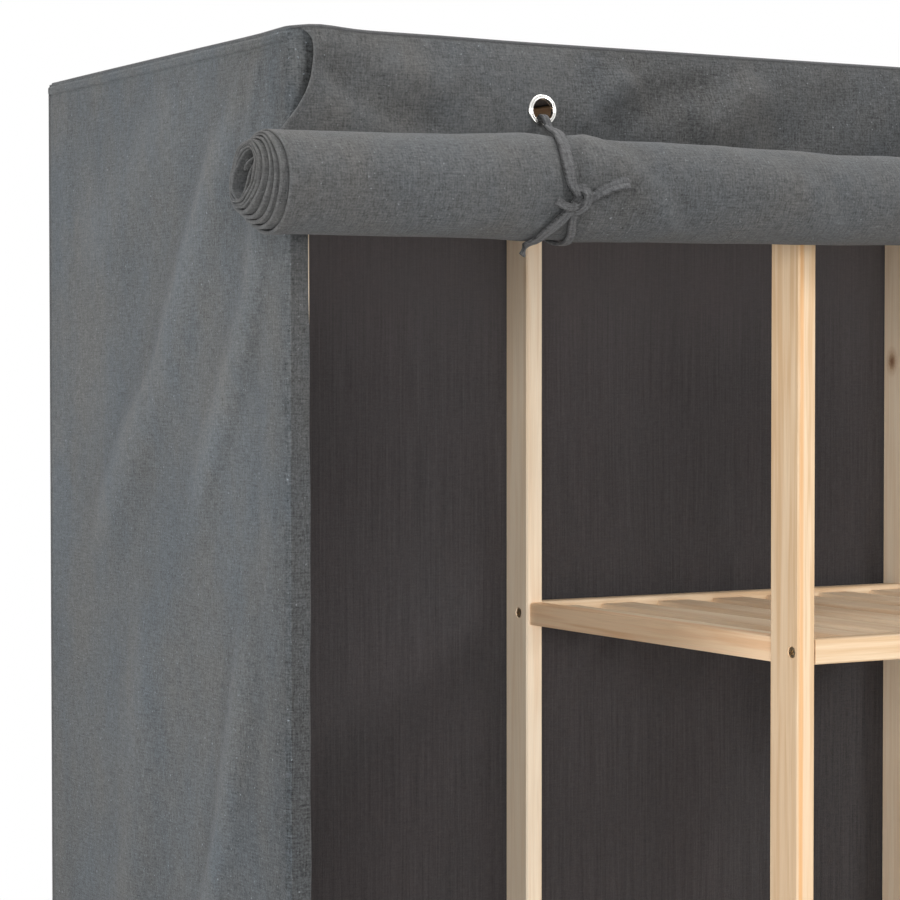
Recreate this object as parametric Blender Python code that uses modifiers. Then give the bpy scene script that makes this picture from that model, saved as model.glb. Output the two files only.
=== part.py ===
"""Fabric wardrobe: a pine frame with three bays under a cloth cover whose front is rolled up and tied.

Metres, +Z up, the front faces -Y. The origin is on the floor, under the middle of the whole object.
"""

import math

import bmesh
import bpy
from mathutils import Matrix, Vector
from mathutils.kdtree import KDTree

# The cover: its outer size and its cloth
WIDTH = 1.200
DEPTH = 0.400
HEIGHT = 1.700
CLOTH = 0.0010
COVER_GAP = 0.0004
SEAM_GAP = 0.0003
HEM_HEIGHT = 0.022
FRONT_STRIP = 0.0155
CORNER_RADIUS = 0.0016
CORNER_STEPS = 2
PIPING_RADIUS = 0.0013
PIPING_CORNER = 0.006

# The folds of the side panels and the slack of the roof
FOLD_DEPTH = 0.0026
FOLD_WIDTH = 0.150
FOLD_LEAN = 0.34
MAIN_FOLD_SHARE = 0.6
BROAD_FOLDS = 3
FOLD_ROWS = 16
FOLD_COLUMNS = 11
ROOF_SLACK = 0.0008
ROOF_COLUMNS = 12
ROOF_ROWS = 4
ROOF_RIPPLES = 3

# The frame's timber
POST_WIDTH = 0.015
POST_DEPTH = 0.033
POST_EDGE = 0.0012
CENTRE_BAY = 0.3758
RAIL_HEIGHT = 0.018
RAIL_THICKNESS = 0.015
RAIL_ROUND = 0.003
SIDE_RAIL_THICKNESS = 0.012
SIDE_RAIL_ROUND = 0.002
TENON_WIDTH = 0.006
TENON_HEIGHT = 0.010
TENON_LENGTH = 0.006
WOOD_GAP = 0.0003
CUT_OVERRUN = 0.004

# Where the rails sit in the depth, from the post's outward face to the rail's middle
CENTRE_FRONT_SETBACK = 0.0075
CENTRE_REAR_SETBACK = 0.0200
OUTER_FRONT_SETBACK = 0.0215
OUTER_REAR_SETBACK = 0.0076

# The shelves
FIRST_SHELF_TOP = 0.097
TOP_SPACE = 0.403
SLAT_COUNT = 7
SLAT_WIDTH = 0.031
SLAT_THICKNESS = 0.0085
SLAT_EDGE = 0.0012
SLAT_DROP = 0.004
SLAT_MARGIN = 0.0045
SLAT_HOUSING = 0.006

# The hanging rods
ROD_RADIUS = 0.011
ROD_DROP = 0.088
ROD_SEAT = 0.006
ROD_RAIL_HEIGHT = 0.032
ROD_SIDES = 16

# The countersunk screws that hold the rails
SCREW_LENGTH = 0.038
SCREW_RADIUS = 0.0019
HEAD_RADIUS = 0.0043
HEAD_DEPTH = 0.0024
SCREW_SUNK = 0.0002
SCREW_SIDES = 8

# The rolled-up front
ROLL_RADIUS = 0.0335
ROLL_DROP = 0.098
ROLL_PITCH = 0.0020
ROLL_TURNS = 12
LOOP_STEPS = 22
FLAP_FLARE = 0.030
ROLL_TELESCOPE = 0.030
TELESCOPE_TURNS = 5.0
FLAP_STEPS = 4

# The eyelets and the cloth ties
TIE_INSET = 0.176
EYELET_RISE_SHARE = 0.54
EYELET_RADIUS = 0.010
EYELET_HOLE = 0.0063
EYELET_BARREL = 0.0007
EYELET_LIP = 0.0008
EYELET_SIDES = 16
STRAP_WIDTH = 0.0075
STRAP_THICKNESS = 0.0018
STRAP_BEND = 0.0026
STRAP_STEP = 0.007
STRAP_DROP = 0.0022
KNOT_RISE = -0.008
KNOT_SHIFT = -0.008
KNOT_WIDTH = 0.013
KNOT_HEIGHT = 0.012
KNOT_DEPTH = 0.009
RIGHT_TAIL = 0.034
RIGHT_TAIL_RISE = 0.008
LEFT_TAIL = 0.032
LEFT_TAIL_FALL = 0.026
TAIL_STEPS = 7
BOW_LOOP = 0.011
BOW_LOOP_DEPTH = 0.0022
BOW_STEPS = 9
BOW_WIDTH = 0.0055
TAIL_LIE_SHARE = 0.80
LEFT_TAIL_SINK_SHARE = 0.25
LOOP_SHIFT_SHARE = 0.25

BAYS = ("left", "centre", "right")
ENDS = ("front", "rear")
LEVELS = ("bottom", "lower", "middle", "upper", "top")
OUTER_LEVELS = ("bottom", "top")
OUTER_SIDE_LEVELS = ("bottom", "middle", "top")

MERGE_DISTANCE = 0.00001
MILLIMETRE = 0.001

# Places that follow from the sizes above
SKIN = CLOTH + COVER_GAP
FRONT = -DEPTH / 2
BACK = DEPTH / 2
POST_FRONT = FRONT + SKIN
POST_BACK = BACK - SKIN
FLAP_Y = FRONT - COVER_GAP - CLOTH / 2
SEAM_Z = HEIGHT - PIPING_RADIUS
PANEL_TOP = SEAM_Z - PIPING_RADIUS - SEAM_GAP
POST_TOP = PANEL_TOP
ROOF_Z = POST_TOP + COVER_GAP + CLOTH / 2
ROLL_MID = ROLL_RADIUS - CLOTH / 2
ROLL_Y = FLAP_Y - ROLL_MID
INNER_LADDER = CENTRE_BAY / 2
OUTER_LADDER = WIDTH / 2 - SKIN
SHELF_STEP = (HEIGHT - FIRST_SHELF_TOP - TOP_SPACE) / (len(LEVELS) - 2)
ROD_HEIGHT = HEIGHT - ROD_DROP
ROLL_AXIS_HEIGHT = HEIGHT - ROLL_DROP
EYELET_HEIGHT = ROLL_AXIS_HEIGHT + EYELET_RISE_SHARE * ROLL_DROP
TIE_OFFSET = WIDTH / 2 - TIE_INSET


def clear_scene():
    for thing in list(bpy.data.objects):
        bpy.data.objects.remove(thing, do_unlink=True)


def collection(name):
    made = bpy.data.collections.new(name)
    bpy.context.scene.collection.children.link(made)
    return made


clear_scene()
PARTS = collection("fabric_wardrobe")
CUTTERS = collection("cutters")


def material(name, colour, roughness, metallic=0.0):
    made = bpy.data.materials.new(name)
    made.use_nodes = True
    shader = made.node_tree.nodes["Principled BSDF"]
    shader.inputs["Base Color"].default_value = (*colour, 1.0)
    shader.inputs["Roughness"].default_value = roughness
    shader.inputs["Metallic"].default_value = metallic
    made.diffuse_color = (*colour, 1.0)
    return made


PINE = ((0.80, 0.60, 0.37), 0.55)
GREY_CLOTH = ((0.145, 0.150, 0.158), 0.92)
NICKEL = ((0.78, 0.77, 0.74), 0.22, 1.0)


def add(name, mesh, look, group=PARTS):
    made = bpy.data.objects.new(name, mesh)
    if look is not None:
        mesh.materials.append(material(name, *look))
    group.objects.link(made)
    return made


def add_cutter(name, mesh):
    made = add(name, mesh, None, CUTTERS)
    made.hide_render = True
    made.display_type = "WIRE"
    return made


def combine(target, other, operation):
    """A Boolean whose other shape goes along with the target."""
    modifier = target.modifiers.new(operation.title(), "BOOLEAN")
    modifier.operation = operation
    modifier.solver = "EXACT"
    modifier.object = other
    other.parent = target


def cut(target, cutter):
    combine(target, cutter, "DIFFERENCE")


def join(target, other):
    combine(target, other, "UNION")


def bevel(target, width):
    modifier = target.modifiers.new("Edges", "BEVEL")
    modifier.width = width
    modifier.segments = 1
    modifier.limit_method = "ANGLE"


def smooth(mesh, degrees=35):
    mesh.shade_smooth()
    mesh.set_sharp_from_angle(angle=math.radians(degrees))


def finish(mesh_builder, name):
    mesh = bpy.data.meshes.new(name)
    mesh_builder.to_mesh(mesh)
    mesh_builder.free()
    return mesh


def block(builder, low, high):
    """Adds a box between two corners."""
    size = [b - a for a, b in zip(low, high)]
    middle = [(a + b) / 2 for a, b in zip(low, high)]
    place = Matrix.Translation(middle) @ Matrix.Diagonal((*size, 1.0))
    bmesh.ops.create_cube(builder, size=1.0, matrix=place)


def joined(meshes_and_places, name):
    """One mesh from several meshes, each moved by its matrix."""
    builder = bmesh.new()
    for mesh, place in meshes_and_places:
        moved = mesh.copy()
        moved.transform(place)
        builder.from_mesh(moved)
        bpy.data.meshes.remove(moved)
    return finish(builder, name)


def outline_mesh(points, thickness, name):
    """A flat outline in local X and Y, extruded along local Z."""
    curve = bpy.data.curves.new(name, "CURVE")
    curve.dimensions = "2D"
    curve.fill_mode = "BOTH"
    curve.extrude = thickness / 2
    spline = curve.splines.new("POLY")
    spline.points.add(len(points) - 1)
    for point, (x, y) in zip(spline.points, points):
        point.co = (x, y, 0.0, 1.0)
    spline.use_cyclic_u = True
    helper = bpy.data.objects.new(name, curve)
    CUTTERS.objects.link(helper)
    graph = bpy.context.evaluated_depsgraph_get()
    mesh = bpy.data.meshes.new_from_object(helper.evaluated_get(graph))
    bpy.data.objects.remove(helper)
    bpy.data.curves.remove(curve)
    builder = bmesh.new()
    builder.from_mesh(mesh)
    bmesh.ops.remove_doubles(builder, verts=builder.verts, dist=MERGE_DISTANCE)
    bmesh.ops.recalc_face_normals(builder, faces=builder.faces)
    builder.to_mesh(mesh)
    builder.free()
    return mesh


def turned_mesh(profile, sides, name, loop=False):
    """A profile of (radius, height) points, top to bottom, turned about local Z."""
    mesh = bpy.data.meshes.new(name)
    edges = [(i, i + 1) for i in range(len(profile) - 1)]
    if loop:
        edges.append((len(profile) - 1, 0))
    mesh.from_pydata([(r, 0.0, z) for r, z in profile], edges, [])
    helper = bpy.data.objects.new(name, mesh)
    CUTTERS.objects.link(helper)
    modifier = helper.modifiers.new("Turn", "SCREW")
    modifier.steps = sides
    modifier.render_steps = sides
    modifier.use_merge_vertices = True
    modifier.merge_threshold = MERGE_DISTANCE
    graph = bpy.context.evaluated_depsgraph_get()
    made = bpy.data.meshes.new_from_object(helper.evaluated_get(graph))
    bpy.data.objects.remove(helper)
    bpy.data.meshes.remove(mesh)
    builder = bmesh.new()
    builder.from_mesh(made)
    bmesh.ops.recalc_face_normals(builder, faces=builder.faces)
    builder.to_mesh(made)
    builder.free()
    smooth(made)
    return made


def grid_mesh(rows, name):
    """An open surface through rows of points, all of one length."""
    mesh = bpy.data.meshes.new(name)
    wide = len(rows[0])
    faces = [
        (i * wide + j, i * wide + j + 1, (i + 1) * wide + j + 1, (i + 1) * wide + j)
        for i in range(len(rows) - 1)
        for j in range(wide - 1)
    ]
    mesh.from_pydata([p for row in rows for p in row], [], faces)
    smooth(mesh, 60)
    return mesh


def shell(name, rows, thickness, look):
    made = add(name, grid_mesh(rows, name), look)
    modifier = made.modifiers.new("Thickness", "SOLIDIFY")
    modifier.thickness = thickness
    modifier.offset = 0.0
    modifier.use_even_offset = True
    return made


def applied(thing):
    """The thing's mesh as its modifiers make it."""
    graph = bpy.context.evaluated_depsgraph_get()
    return bpy.data.meshes.new_from_object(thing.evaluated_get(graph))


# Local X, Y and Z of an outline laid along each world axis
ALONG_X = Matrix(((0, 0, 1), (1, 0, 0), (0, 1, 0))).to_4x4()
ALONG_Y = Matrix(((-1, 0, 0), (0, 0, 1), (0, 1, 0))).to_4x4()


def arc(centre, radius, start, end, steps):
    """Points of an arc, both ends among them; the angles are in degrees."""
    points = []
    for i in range(steps + 1):
        angle = math.radians(start + (end - start) * i / steps)
        points.append((centre[0] + radius * math.cos(angle), centre[1] + radius * math.sin(angle)))
    return points


def ladders():
    """From left to right: name, sign of the side, X of the face towards the middle."""
    return (
        ("left_outer", -1, OUTER_LADDER - POST_WIDTH),
        ("left_inner", -1, INNER_LADDER),
        ("right_inner", 1, INNER_LADDER),
        ("right_outer", 1, OUTER_LADDER - POST_WIDTH),
    )


def shelf_top(level):
    if level == "top":
        return POST_TOP
    return FIRST_SHELF_TOP + SHELF_STEP * LEVELS.index(level)


def side_levels(ladder):
    return LEVELS if "inner" in ladder else OUTER_SIDE_LEVELS


def rail_middle(bay, end):
    """Y of a rail's middle."""
    if bay == "centre":
        front, rear = CENTRE_FRONT_SETBACK, CENTRE_REAR_SETBACK
    else:
        front, rear = OUTER_FRONT_SETBACK, OUTER_REAR_SETBACK
    return POST_FRONT + front if end == "front" else POST_BACK - rear


def bay_span(bay):
    """X of the two post faces that a bay's rails run between."""
    if bay == "centre":
        return -INNER_LADDER, INNER_LADDER
    inner, outer = INNER_LADDER + POST_WIDTH, OUTER_LADDER - POST_WIDTH
    return (-outer, -inner) if bay == "left" else (inner, outer)


def bay_levels(bay):
    return LEVELS if bay == "centre" else OUTER_LEVELS


def rail_screw_places(bay, level, end):
    """A rail's two screws: where the axis meets the post's far face, and its way along X."""
    low, high = bay_span(bay)
    y, z = rail_middle(bay, end), shelf_top(level) - RAIL_HEIGHT / 2
    yield Vector((low - POST_WIDTH, y, z)), 1
    yield Vector((high + POST_WIDTH, y, z)), -1


def screw_places():
    for bay in BAYS:
        for level in bay_levels(bay):
            for end in ENDS:
                yield from rail_screw_places(bay, level, end)


def screw_matrix(place, way):
    """Turns local -Z, the screw's tip, to the way it points."""
    return Matrix.Translation(place) @ Matrix.Rotation(math.radians(-90 * way), 4, "Y")


def screw_mesh():
    top = -SCREW_SUNK
    profile = (
        (0.0, top),
        (HEAD_RADIUS, top),
        (SCREW_RADIUS, top - HEAD_DEPTH),
        (SCREW_RADIUS, -SCREW_LENGTH),
        (0.0, -SCREW_LENGTH),
    )
    return turned_mesh(profile, SCREW_SIDES, "screw")


def screw_hole_mesh():
    head, shank = HEAD_RADIUS + WOOD_GAP, SCREW_RADIUS + WOOD_GAP
    profile = (
        (0.0, CUT_OVERRUN),
        (head, CUT_OVERRUN),
        (head, -SCREW_SUNK),
        (shank, -HEAD_DEPTH - SCREW_SUNK),
        (shank, -SCREW_LENGTH - WOOD_GAP),
        (0.0, -SCREW_LENGTH - WOOD_GAP),
    )
    return turned_mesh(profile, SCREW_SIDES, "screw_hole")


SCREW = screw_mesh()
SCREW_HOLE = screw_hole_mesh()


def in_box(point, low, high):
    return all(a <= p <= b for p, a, b in zip(point, low, high))


def tenon_box(builder, x, y_face, way, z, gap):
    """A tenon, or with a gap its mortise; it goes from the face into the post."""
    root, tip = y_face - way * CUT_OVERRUN, y_face + way * (TENON_LENGTH + gap)
    half_x, half_z = TENON_WIDTH / 2 + gap, TENON_HEIGHT / 2 + gap
    low = (x - half_x, min(root, tip), z - half_z)
    high = (x + half_x, max(root, tip), z + half_z)
    block(builder, low, high)


def side_rail_x(side, near_face):
    """X of a side rail's middle: it is flush with the post's face towards the middle."""
    return side * (near_face + SIDE_RAIL_THICKNESS / 2)


def tenon_heights(ladder):
    levels = [shelf_top(level) - RAIL_HEIGHT / 2 for level in side_levels(ladder)]
    return levels + [ROD_HEIGHT]


def post_cutter(name, ladder, side, near_face, end):
    """All that a post has cut out: screw holes along X, mortises along Y."""
    x_low = min(side * near_face, side * (near_face + POST_WIDTH))
    y_low = POST_FRONT if end == "front" else POST_BACK - POST_DEPTH
    low = (x_low - CUT_OVERRUN, y_low, 0.0)
    high = (x_low + POST_WIDTH + CUT_OVERRUN, y_low + POST_DEPTH, POST_TOP)
    pieces = [
        (SCREW_HOLE, screw_matrix(place, way))
        for place, way in screw_places()
        if in_box(place, low, high)
    ]
    builder = bmesh.new()
    inner_face = y_low + POST_DEPTH if end == "front" else y_low
    way = -1 if end == "front" else 1
    for z in tenon_heights(ladder):
        tenon_box(builder, side_rail_x(side, near_face), inner_face, way, z, WOOD_GAP)
    mortises = finish(builder, "mortises")
    pieces.append((mortises, Matrix.Identity(4)))
    return add_cutter(name + "_cutter", joined(pieces, name + "_cutter"))


def make_posts():
    for ladder, side, near_face in ladders():
        for end in ("front", "rear"):
            name = f"{ladder}_{end}_post"
            builder = bmesh.new()
            x = sorted((side * near_face, side * (near_face + POST_WIDTH)))
            y_low = POST_FRONT if end == "front" else POST_BACK - POST_DEPTH
            block(builder, (x[0], y_low, 0.0), (x[1], y_low + POST_DEPTH, POST_TOP))
            post = add(name, finish(builder, name), PINE)
            bevel(post, POST_EDGE)
            cut(post, post_cutter(name, ladder, side, near_face, end))


def rounded_top(width, height, radius):
    """A bar's section, its two top edges rounded; X across, Y up from the bottom."""
    right = arc((width / 2 - radius, height - radius), radius, 0, 90, CORNER_STEPS)
    left = arc((radius - width / 2, height - radius), radius, 90, 180, CORNER_STEPS)
    return [(-width / 2, 0.0), (width / 2, 0.0), *right, *left]


def rail_mesh(bay, level, end):
    """A long rail between two posts, as (mesh, its matrix)."""
    low, high = (x + shift for x, shift in zip(bay_span(bay), (WOOD_GAP, -WOOD_GAP)))
    section = rounded_top(RAIL_THICKNESS, RAIL_HEIGHT, RAIL_ROUND)
    mesh = outline_mesh(section, high - low, "rail")
    place = ((low + high) / 2, rail_middle(bay, end), shelf_top(level) - RAIL_HEIGHT)
    return mesh, Matrix.Translation(place) @ ALONG_X


def rail_screws(bay, level, ends):
    """The screws driven into the rails' ends, which reach out through the posts."""
    pieces = []
    for end in ends:
        for place, way in rail_screw_places(bay, level, end):
            pieces.append((SCREW, screw_matrix(place, way)))
    return pieces


def make_top_rails():
    for bay in BAYS:
        for end in ENDS:
            name = f"{bay}_top_{end}_rail"
            rail = add(name, joined([rail_mesh(bay, "top", end)], name), PINE)
            smooth(rail.data)
            screws = joined(rail_screws(bay, "top", [end]), name + "_screws")
            join(rail, add_cutter(name + "_screws", screws))


def slats_mesh(bay, level):
    """The slats of a shelf, their ends let into its two rails."""
    low, high = bay_span(bay)
    first = low + SLAT_MARGIN
    pitch = (high - low - 2 * SLAT_MARGIN - SLAT_WIDTH) / (SLAT_COUNT - 1)
    reach = RAIL_THICKNESS / 2 - SLAT_HOUSING
    y_low, y_high = rail_middle(bay, "front") + reach, rail_middle(bay, "rear") - reach
    top = shelf_top(level) - SLAT_DROP
    builder = bmesh.new()
    for i in range(SLAT_COUNT):
        x = first + pitch * i
        block(builder, (x, y_low, top - SLAT_THICKNESS), (x + SLAT_WIDTH, y_high, top))
    long_edges = [
        edge
        for edge in builder.edges
        if abs((edge.verts[0].co - edge.verts[1].co).y) > DEPTH / 2
        and min(v.co.z for v in edge.verts) > top - SLAT_EDGE
    ]
    bmesh.ops.bevel(builder, geom=long_edges, offset=SLAT_EDGE, segments=1, affect="EDGES")
    return finish(builder, "slats")


def make_shelves():
    """Each shelf is one joined-up piece: two rails, the slats between them and the four screws."""
    for bay in BAYS:
        for level in bay_levels(bay)[:-1]:
            name = f"{bay}_{level}_shelf"
            shelf = add(name, joined([rail_mesh(bay, level, end) for end in ENDS], name), PINE)
            smooth(shelf.data)
            join(shelf, add_cutter(name + "_slats", slats_mesh(bay, level)))
            screws = joined(rail_screws(bay, level, ENDS), name + "_screws")
            join(shelf, add_cutter(name + "_screws", screws))


def cross_bar(side, near_face, height, z_low, name):
    """A bar between a ladder's two posts, with a tenon on each end."""
    y_low, y_high = POST_FRONT + POST_DEPTH + WOOD_GAP, POST_BACK - POST_DEPTH - WOOD_GAP
    section = rounded_top(SIDE_RAIL_THICKNESS, height, SIDE_RAIL_ROUND)
    mesh = outline_mesh(section, y_high - y_low, name)
    x = side_rail_x(side, near_face)
    mesh.transform(Matrix.Translation((x, (y_low + y_high) / 2, z_low)) @ ALONG_Y)
    bar = add(name, mesh, None, CUTTERS)
    builder = bmesh.new()
    z = z_low + height / 2
    for face, way in ((y_low, -1), (y_high, 1)):
        tenon_box(builder, x, face, way, z, 0.0)
    tenons = add_cutter(name + "_tenons", finish(builder, name + "_tenons"))
    join(bar, tenons)
    made = applied(bar)
    for helper in (bar, tenons):
        bpy.data.objects.remove(helper)
    return made


def make_side_rails():
    for ladder, side, near_face in ladders():
        for level in side_levels(ladder):
            name = f"{ladder}_{level}_side_rail"
            z_low = shelf_top(level) - RAIL_HEIGHT
            mesh = cross_bar(side, near_face, RAIL_HEIGHT, z_low, name)
            mesh.name = name
            smooth(mesh)
            add(name, mesh, PINE)


def rod_seats(side):
    """X of the two faces that a rod's seats are sunk into, from the middle outwards."""
    return (
        side * (INNER_LADDER + SIDE_RAIL_THICKNESS),
        side * (OUTER_LADDER - POST_WIDTH),
    )


def make_rods():
    turn = Matrix.Rotation(math.radians(90), 4, "Y")
    for bay, side in (("left", -1), ("right", 1)):
        inner, outer = rod_seats(side)
        half = abs(outer - inner) / 2 + ROD_SEAT - WOOD_GAP
        profile = ((0.0, half), (ROD_RADIUS, half), (ROD_RADIUS, -half), (0.0, -half))
        mesh = turned_mesh(profile, ROD_SIDES, bay + "_hanging_rod")
        mesh.transform(Matrix.Translation(((inner + outer) / 2, 0.0, ROD_HEIGHT)) @ turn)
        add(bay + "_hanging_rod", mesh, PINE)


def make_rod_rails():
    radius = ROD_RADIUS + WOOD_GAP
    turn = Matrix.Rotation(math.radians(90), 4, "Y")
    for ladder, side, near_face in ladders():
        name = ladder + "_rod_rail"
        z_low = ROD_HEIGHT - ROD_RAIL_HEIGHT / 2
        mesh = cross_bar(side, near_face, ROD_RAIL_HEIGHT, z_low, name)
        mesh.name = name
        smooth(mesh)
        bar = add(name, mesh, PINE)
        inner, outer = rod_seats(side)
        face, into = (inner, -side) if "inner" in ladder else (outer, side)
        ends = sorted((face + into * ROD_SEAT, face - into * CUT_OVERRUN))
        half = (ends[1] - ends[0]) / 2
        profile = ((0.0, half), (radius, half), (radius, -half), (0.0, -half))
        bore = turned_mesh(profile, ROD_SIDES, name + "_bore")
        bore.transform(Matrix.Translation((sum(ends) / 2, 0.0, ROD_HEIGHT)) @ turn)
        cut(bar, add_cutter(name + "_bore", bore))


def window(value, low, high):
    """Rises from 0 at low to 1 midway and back to 0 at high."""
    if not low < value < high:
        return 0.0
    return math.sin(math.pi * (value - low) / (high - low))


def fold_depth(y, z):
    """How far a side panel's cloth hangs in at a point; the folds lean from the top front corner."""
    between = window(y, POST_FRONT + POST_DEPTH, POST_BACK - POST_DEPTH)
    lean = y + FOLD_LEAN * (HEIGHT - z)
    main = (1 - math.cos(2 * math.pi * lean / FOLD_WIDTH)) / 2
    broad_width = BROAD_FOLDS * FOLD_WIDTH
    broad = (1 + math.sin(2 * math.pi * (y - FOLD_LEAN * z) / broad_width)) / 2
    return FOLD_DEPTH * between * (broad + MAIN_FOLD_SHARE * (main - broad))


def side_panel_plan():
    """The panel's middle line seen from above, as (outward, y) points from its front hem to the back."""
    outer, front = WIDTH / 2 - CLOTH / 2, FRONT + CLOTH / 2
    hem = WIDTH / 2 - FRONT_STRIP
    corner = arc((outer - CORNER_RADIUS, front + CORNER_RADIUS), CORNER_RADIUS, -90, 0, CORNER_STEPS)
    back = BACK - CLOTH - SEAM_GAP
    first = corner[-1][1]
    side = [
        (outer, first + (back - first) * i / FOLD_COLUMNS) for i in range(1, FOLD_COLUMNS + 1)
    ]
    return [(hem, front), *corner, *side], outer


def make_side_panels():
    plan, outer = side_panel_plan()
    heights = [HEM_HEIGHT + (PANEL_TOP - HEM_HEIGHT) * i / FOLD_ROWS for i in range(FOLD_ROWS + 1)]
    for name, side in (("left", -1), ("right", 1)):
        rows = []
        for z in heights:
            row = []
            for x, y in plan:
                inward = fold_depth(y, z) if x == outer else 0.0
                row.append((side * (x - inward), y, z))
            rows.append(row)
        shell(f"cover_{name}_panel", rows, CLOTH, GREY_CLOTH)


def make_back_panel():
    y = BACK - CLOTH / 2
    half = WIDTH / 2
    rows = [[(-half, y, z), (half, y, z)] for z in (HEM_HEIGHT, PANEL_TOP)]
    shell("cover_back_panel", rows, CLOTH, GREY_CLOTH)


def roof_edges():
    """Where the roof's cloth ends: clear of the piping all round."""
    inset = 2 * PIPING_RADIUS + SEAM_GAP
    front = FLAP_Y + PIPING_RADIUS + SEAM_GAP
    return -WIDTH / 2 + inset, WIDTH / 2 - inset, front, BACK - inset


def make_roof():
    """The roof's cloth; its corners are cut off inside the piping's round ones."""
    left, right, front, back = roof_edges()
    corner = PIPING_CORNER - PIPING_RADIUS - SEAM_GAP
    near, far = front + corner, back - corner
    between = [(near + (far - near) * i / ROOF_ROWS, 0.0) for i in range(ROOF_ROWS + 1)]
    rows = []
    for y, cut_off in [(front, corner), *between, (back, corner)]:
        row = []
        for j in range(ROOF_COLUMNS + 1):
            x = left + cut_off + (right - left - 2 * cut_off) * j / ROOF_COLUMNS
            ripple = (1 + math.cos(2 * math.pi * ROOF_RIPPLES * j / ROOF_COLUMNS)) / 2
            row.append((x, y, ROOF_Z + ROOF_SLACK * ripple * window(y, near, far)))
        rows.append(row)
    shell("cover_top_panel", rows, CLOTH, GREY_CLOTH)


def make_piping():
    """The piped seam round the roof: one closed tube."""
    right, front, back = WIDTH / 2 - PIPING_RADIUS, FLAP_Y, BACK - PIPING_RADIUS
    r = PIPING_CORNER
    points = [
        *arc((right - r, front + r), r, -90, 0, CORNER_STEPS),
        *arc((right - r, back - r), r, 0, 90, CORNER_STEPS),
        *arc((r - right, back - r), r, 90, 180, CORNER_STEPS),
        *arc((r - right, front + r), r, 180, 270, CORNER_STEPS),
    ]
    curve = bpy.data.curves.new("cover_piping", "CURVE")
    curve.dimensions = "3D"
    curve.bevel_depth = PIPING_RADIUS
    curve.bevel_resolution = 1
    spline = curve.splines.new("POLY")
    spline.points.add(len(points) - 1)
    for point, (x, y) in zip(spline.points, points):
        point.co = (x, y, SEAM_Z, 1.0)
    spline.use_cyclic_u = True
    curve.materials.append(material("cover_piping", *GREY_CLOTH))
    made = bpy.data.objects.new("cover_piping", curve)
    PARTS.objects.link(made)


def roll_point(turn):
    """(y, z) of the rolled cloth's middle, a number of turns in from where the flap meets the roll."""
    radius = ROLL_MID - ROLL_PITCH * turn
    angle = 2 * math.pi * turn
    return ROLL_Y + radius * math.cos(angle), ROLL_AXIS_HEIGHT - radius * math.sin(angle)


def roll_half_width(turn):
    return WIDTH / 2 + FLAP_FLARE + ROLL_TELESCOPE * min(1.0, turn / TELESCOPE_TURNS)


def flap_rows():
    """The hanging stretch from the seam down to the roll; it flares as it goes."""
    rows = []
    for i in range(FLAP_STEPS):
        share = i / FLAP_STEPS
        z = PANEL_TOP + (ROLL_AXIS_HEIGHT - PANEL_TOP) * share
        rows.append((FLAP_Y, z, WIDTH / 2 + FLAP_FLARE * share))
    return rows


def roll_rows():
    steps = int(ROLL_TURNS * LOOP_STEPS)
    turns = [i / LOOP_STEPS for i in range(steps + 1)]
    return [(*roll_point(turn), roll_half_width(turn)) for turn in turns]


def least_roll_gap():
    """The least gap between the roll's turns, from points along its middle line."""
    points = [Vector((0.0, y, z)) for y, z, _ in roll_rows()]
    tree = KDTree(len(points))
    for i, point in enumerate(points):
        tree.insert(point, i)
    tree.balance()
    least = ROLL_RADIUS
    for i, point in enumerate(points):
        for _, j, away in tree.find_range(point, 2 * ROLL_PITCH):
            if abs(i - j) > LOOP_STEPS / 2:
                least = min(least, away - CLOTH)
    return least


def tie_places():
    return (("left", -TIE_OFFSET), ("middle", 0.0), ("right", TIE_OFFSET))


def make_front_roll():
    rows = [[(-half, y, z), (half, y, z)] for y, z, half in flap_rows() + roll_rows()]
    made = shell("cover_front_roll", rows, CLOTH, GREY_CLOTH)
    radius = EYELET_HOLE + EYELET_BARREL + SEAM_GAP
    half = CUT_OVERRUN
    profile = ((0.0, half), (radius, half), (radius, -half), (0.0, -half))
    hole = turned_mesh(profile, EYELET_SIDES, "eyelet_hole")
    turn = Matrix.Rotation(math.radians(90), 4, "X")
    places = [
        (hole, Matrix.Translation((x, FLAP_Y, EYELET_HEIGHT)) @ turn) for _, x in tie_places()
    ]
    cut(made, add_cutter("eyelet_holes", joined(places, "eyelet_holes")))
    return [made]


def make_eyelets():
    """A rolled ring each, gripping the cloth between its two lips."""
    near = CLOTH / 2 + SEAM_GAP
    far = near + EYELET_LIP
    outside, inside = EYELET_RADIUS, EYELET_HOLE
    barrel = EYELET_HOLE + EYELET_BARREL
    crown = (outside + barrel) / 2
    profile = (
        (outside, near),
        (crown, far),
        (inside + EYELET_BARREL / 2, far),
        (inside, near),
        (inside, -near),
        (inside + EYELET_BARREL / 2, -far),
        (crown, -far),
        (outside, -near),
        (barrel, -near),
        (barrel, near),
    )
    turn = Matrix.Rotation(math.radians(90), 4, "X")
    made = []
    for side, x in tie_places():
        mesh = turned_mesh(profile, EYELET_SIDES, side + "_eyelet", loop=True)
        mesh.transform(Matrix.Translation((x, FLAP_Y, EYELET_HEIGHT)) @ turn)
        made.append(add(side + "_eyelet", mesh, NICKEL))
    return made


def on_roll(z, lift):
    """Y on the roll's front at a height; below the roll's belly it hangs straight down."""
    radius = ROLL_RADIUS + lift
    share = max(-TAIL_LIE_SHARE, min(TAIL_LIE_SHARE, (z - ROLL_AXIS_HEIGHT) / radius))
    return ROLL_Y - radius * math.sqrt(1 - share * share), share


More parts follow.
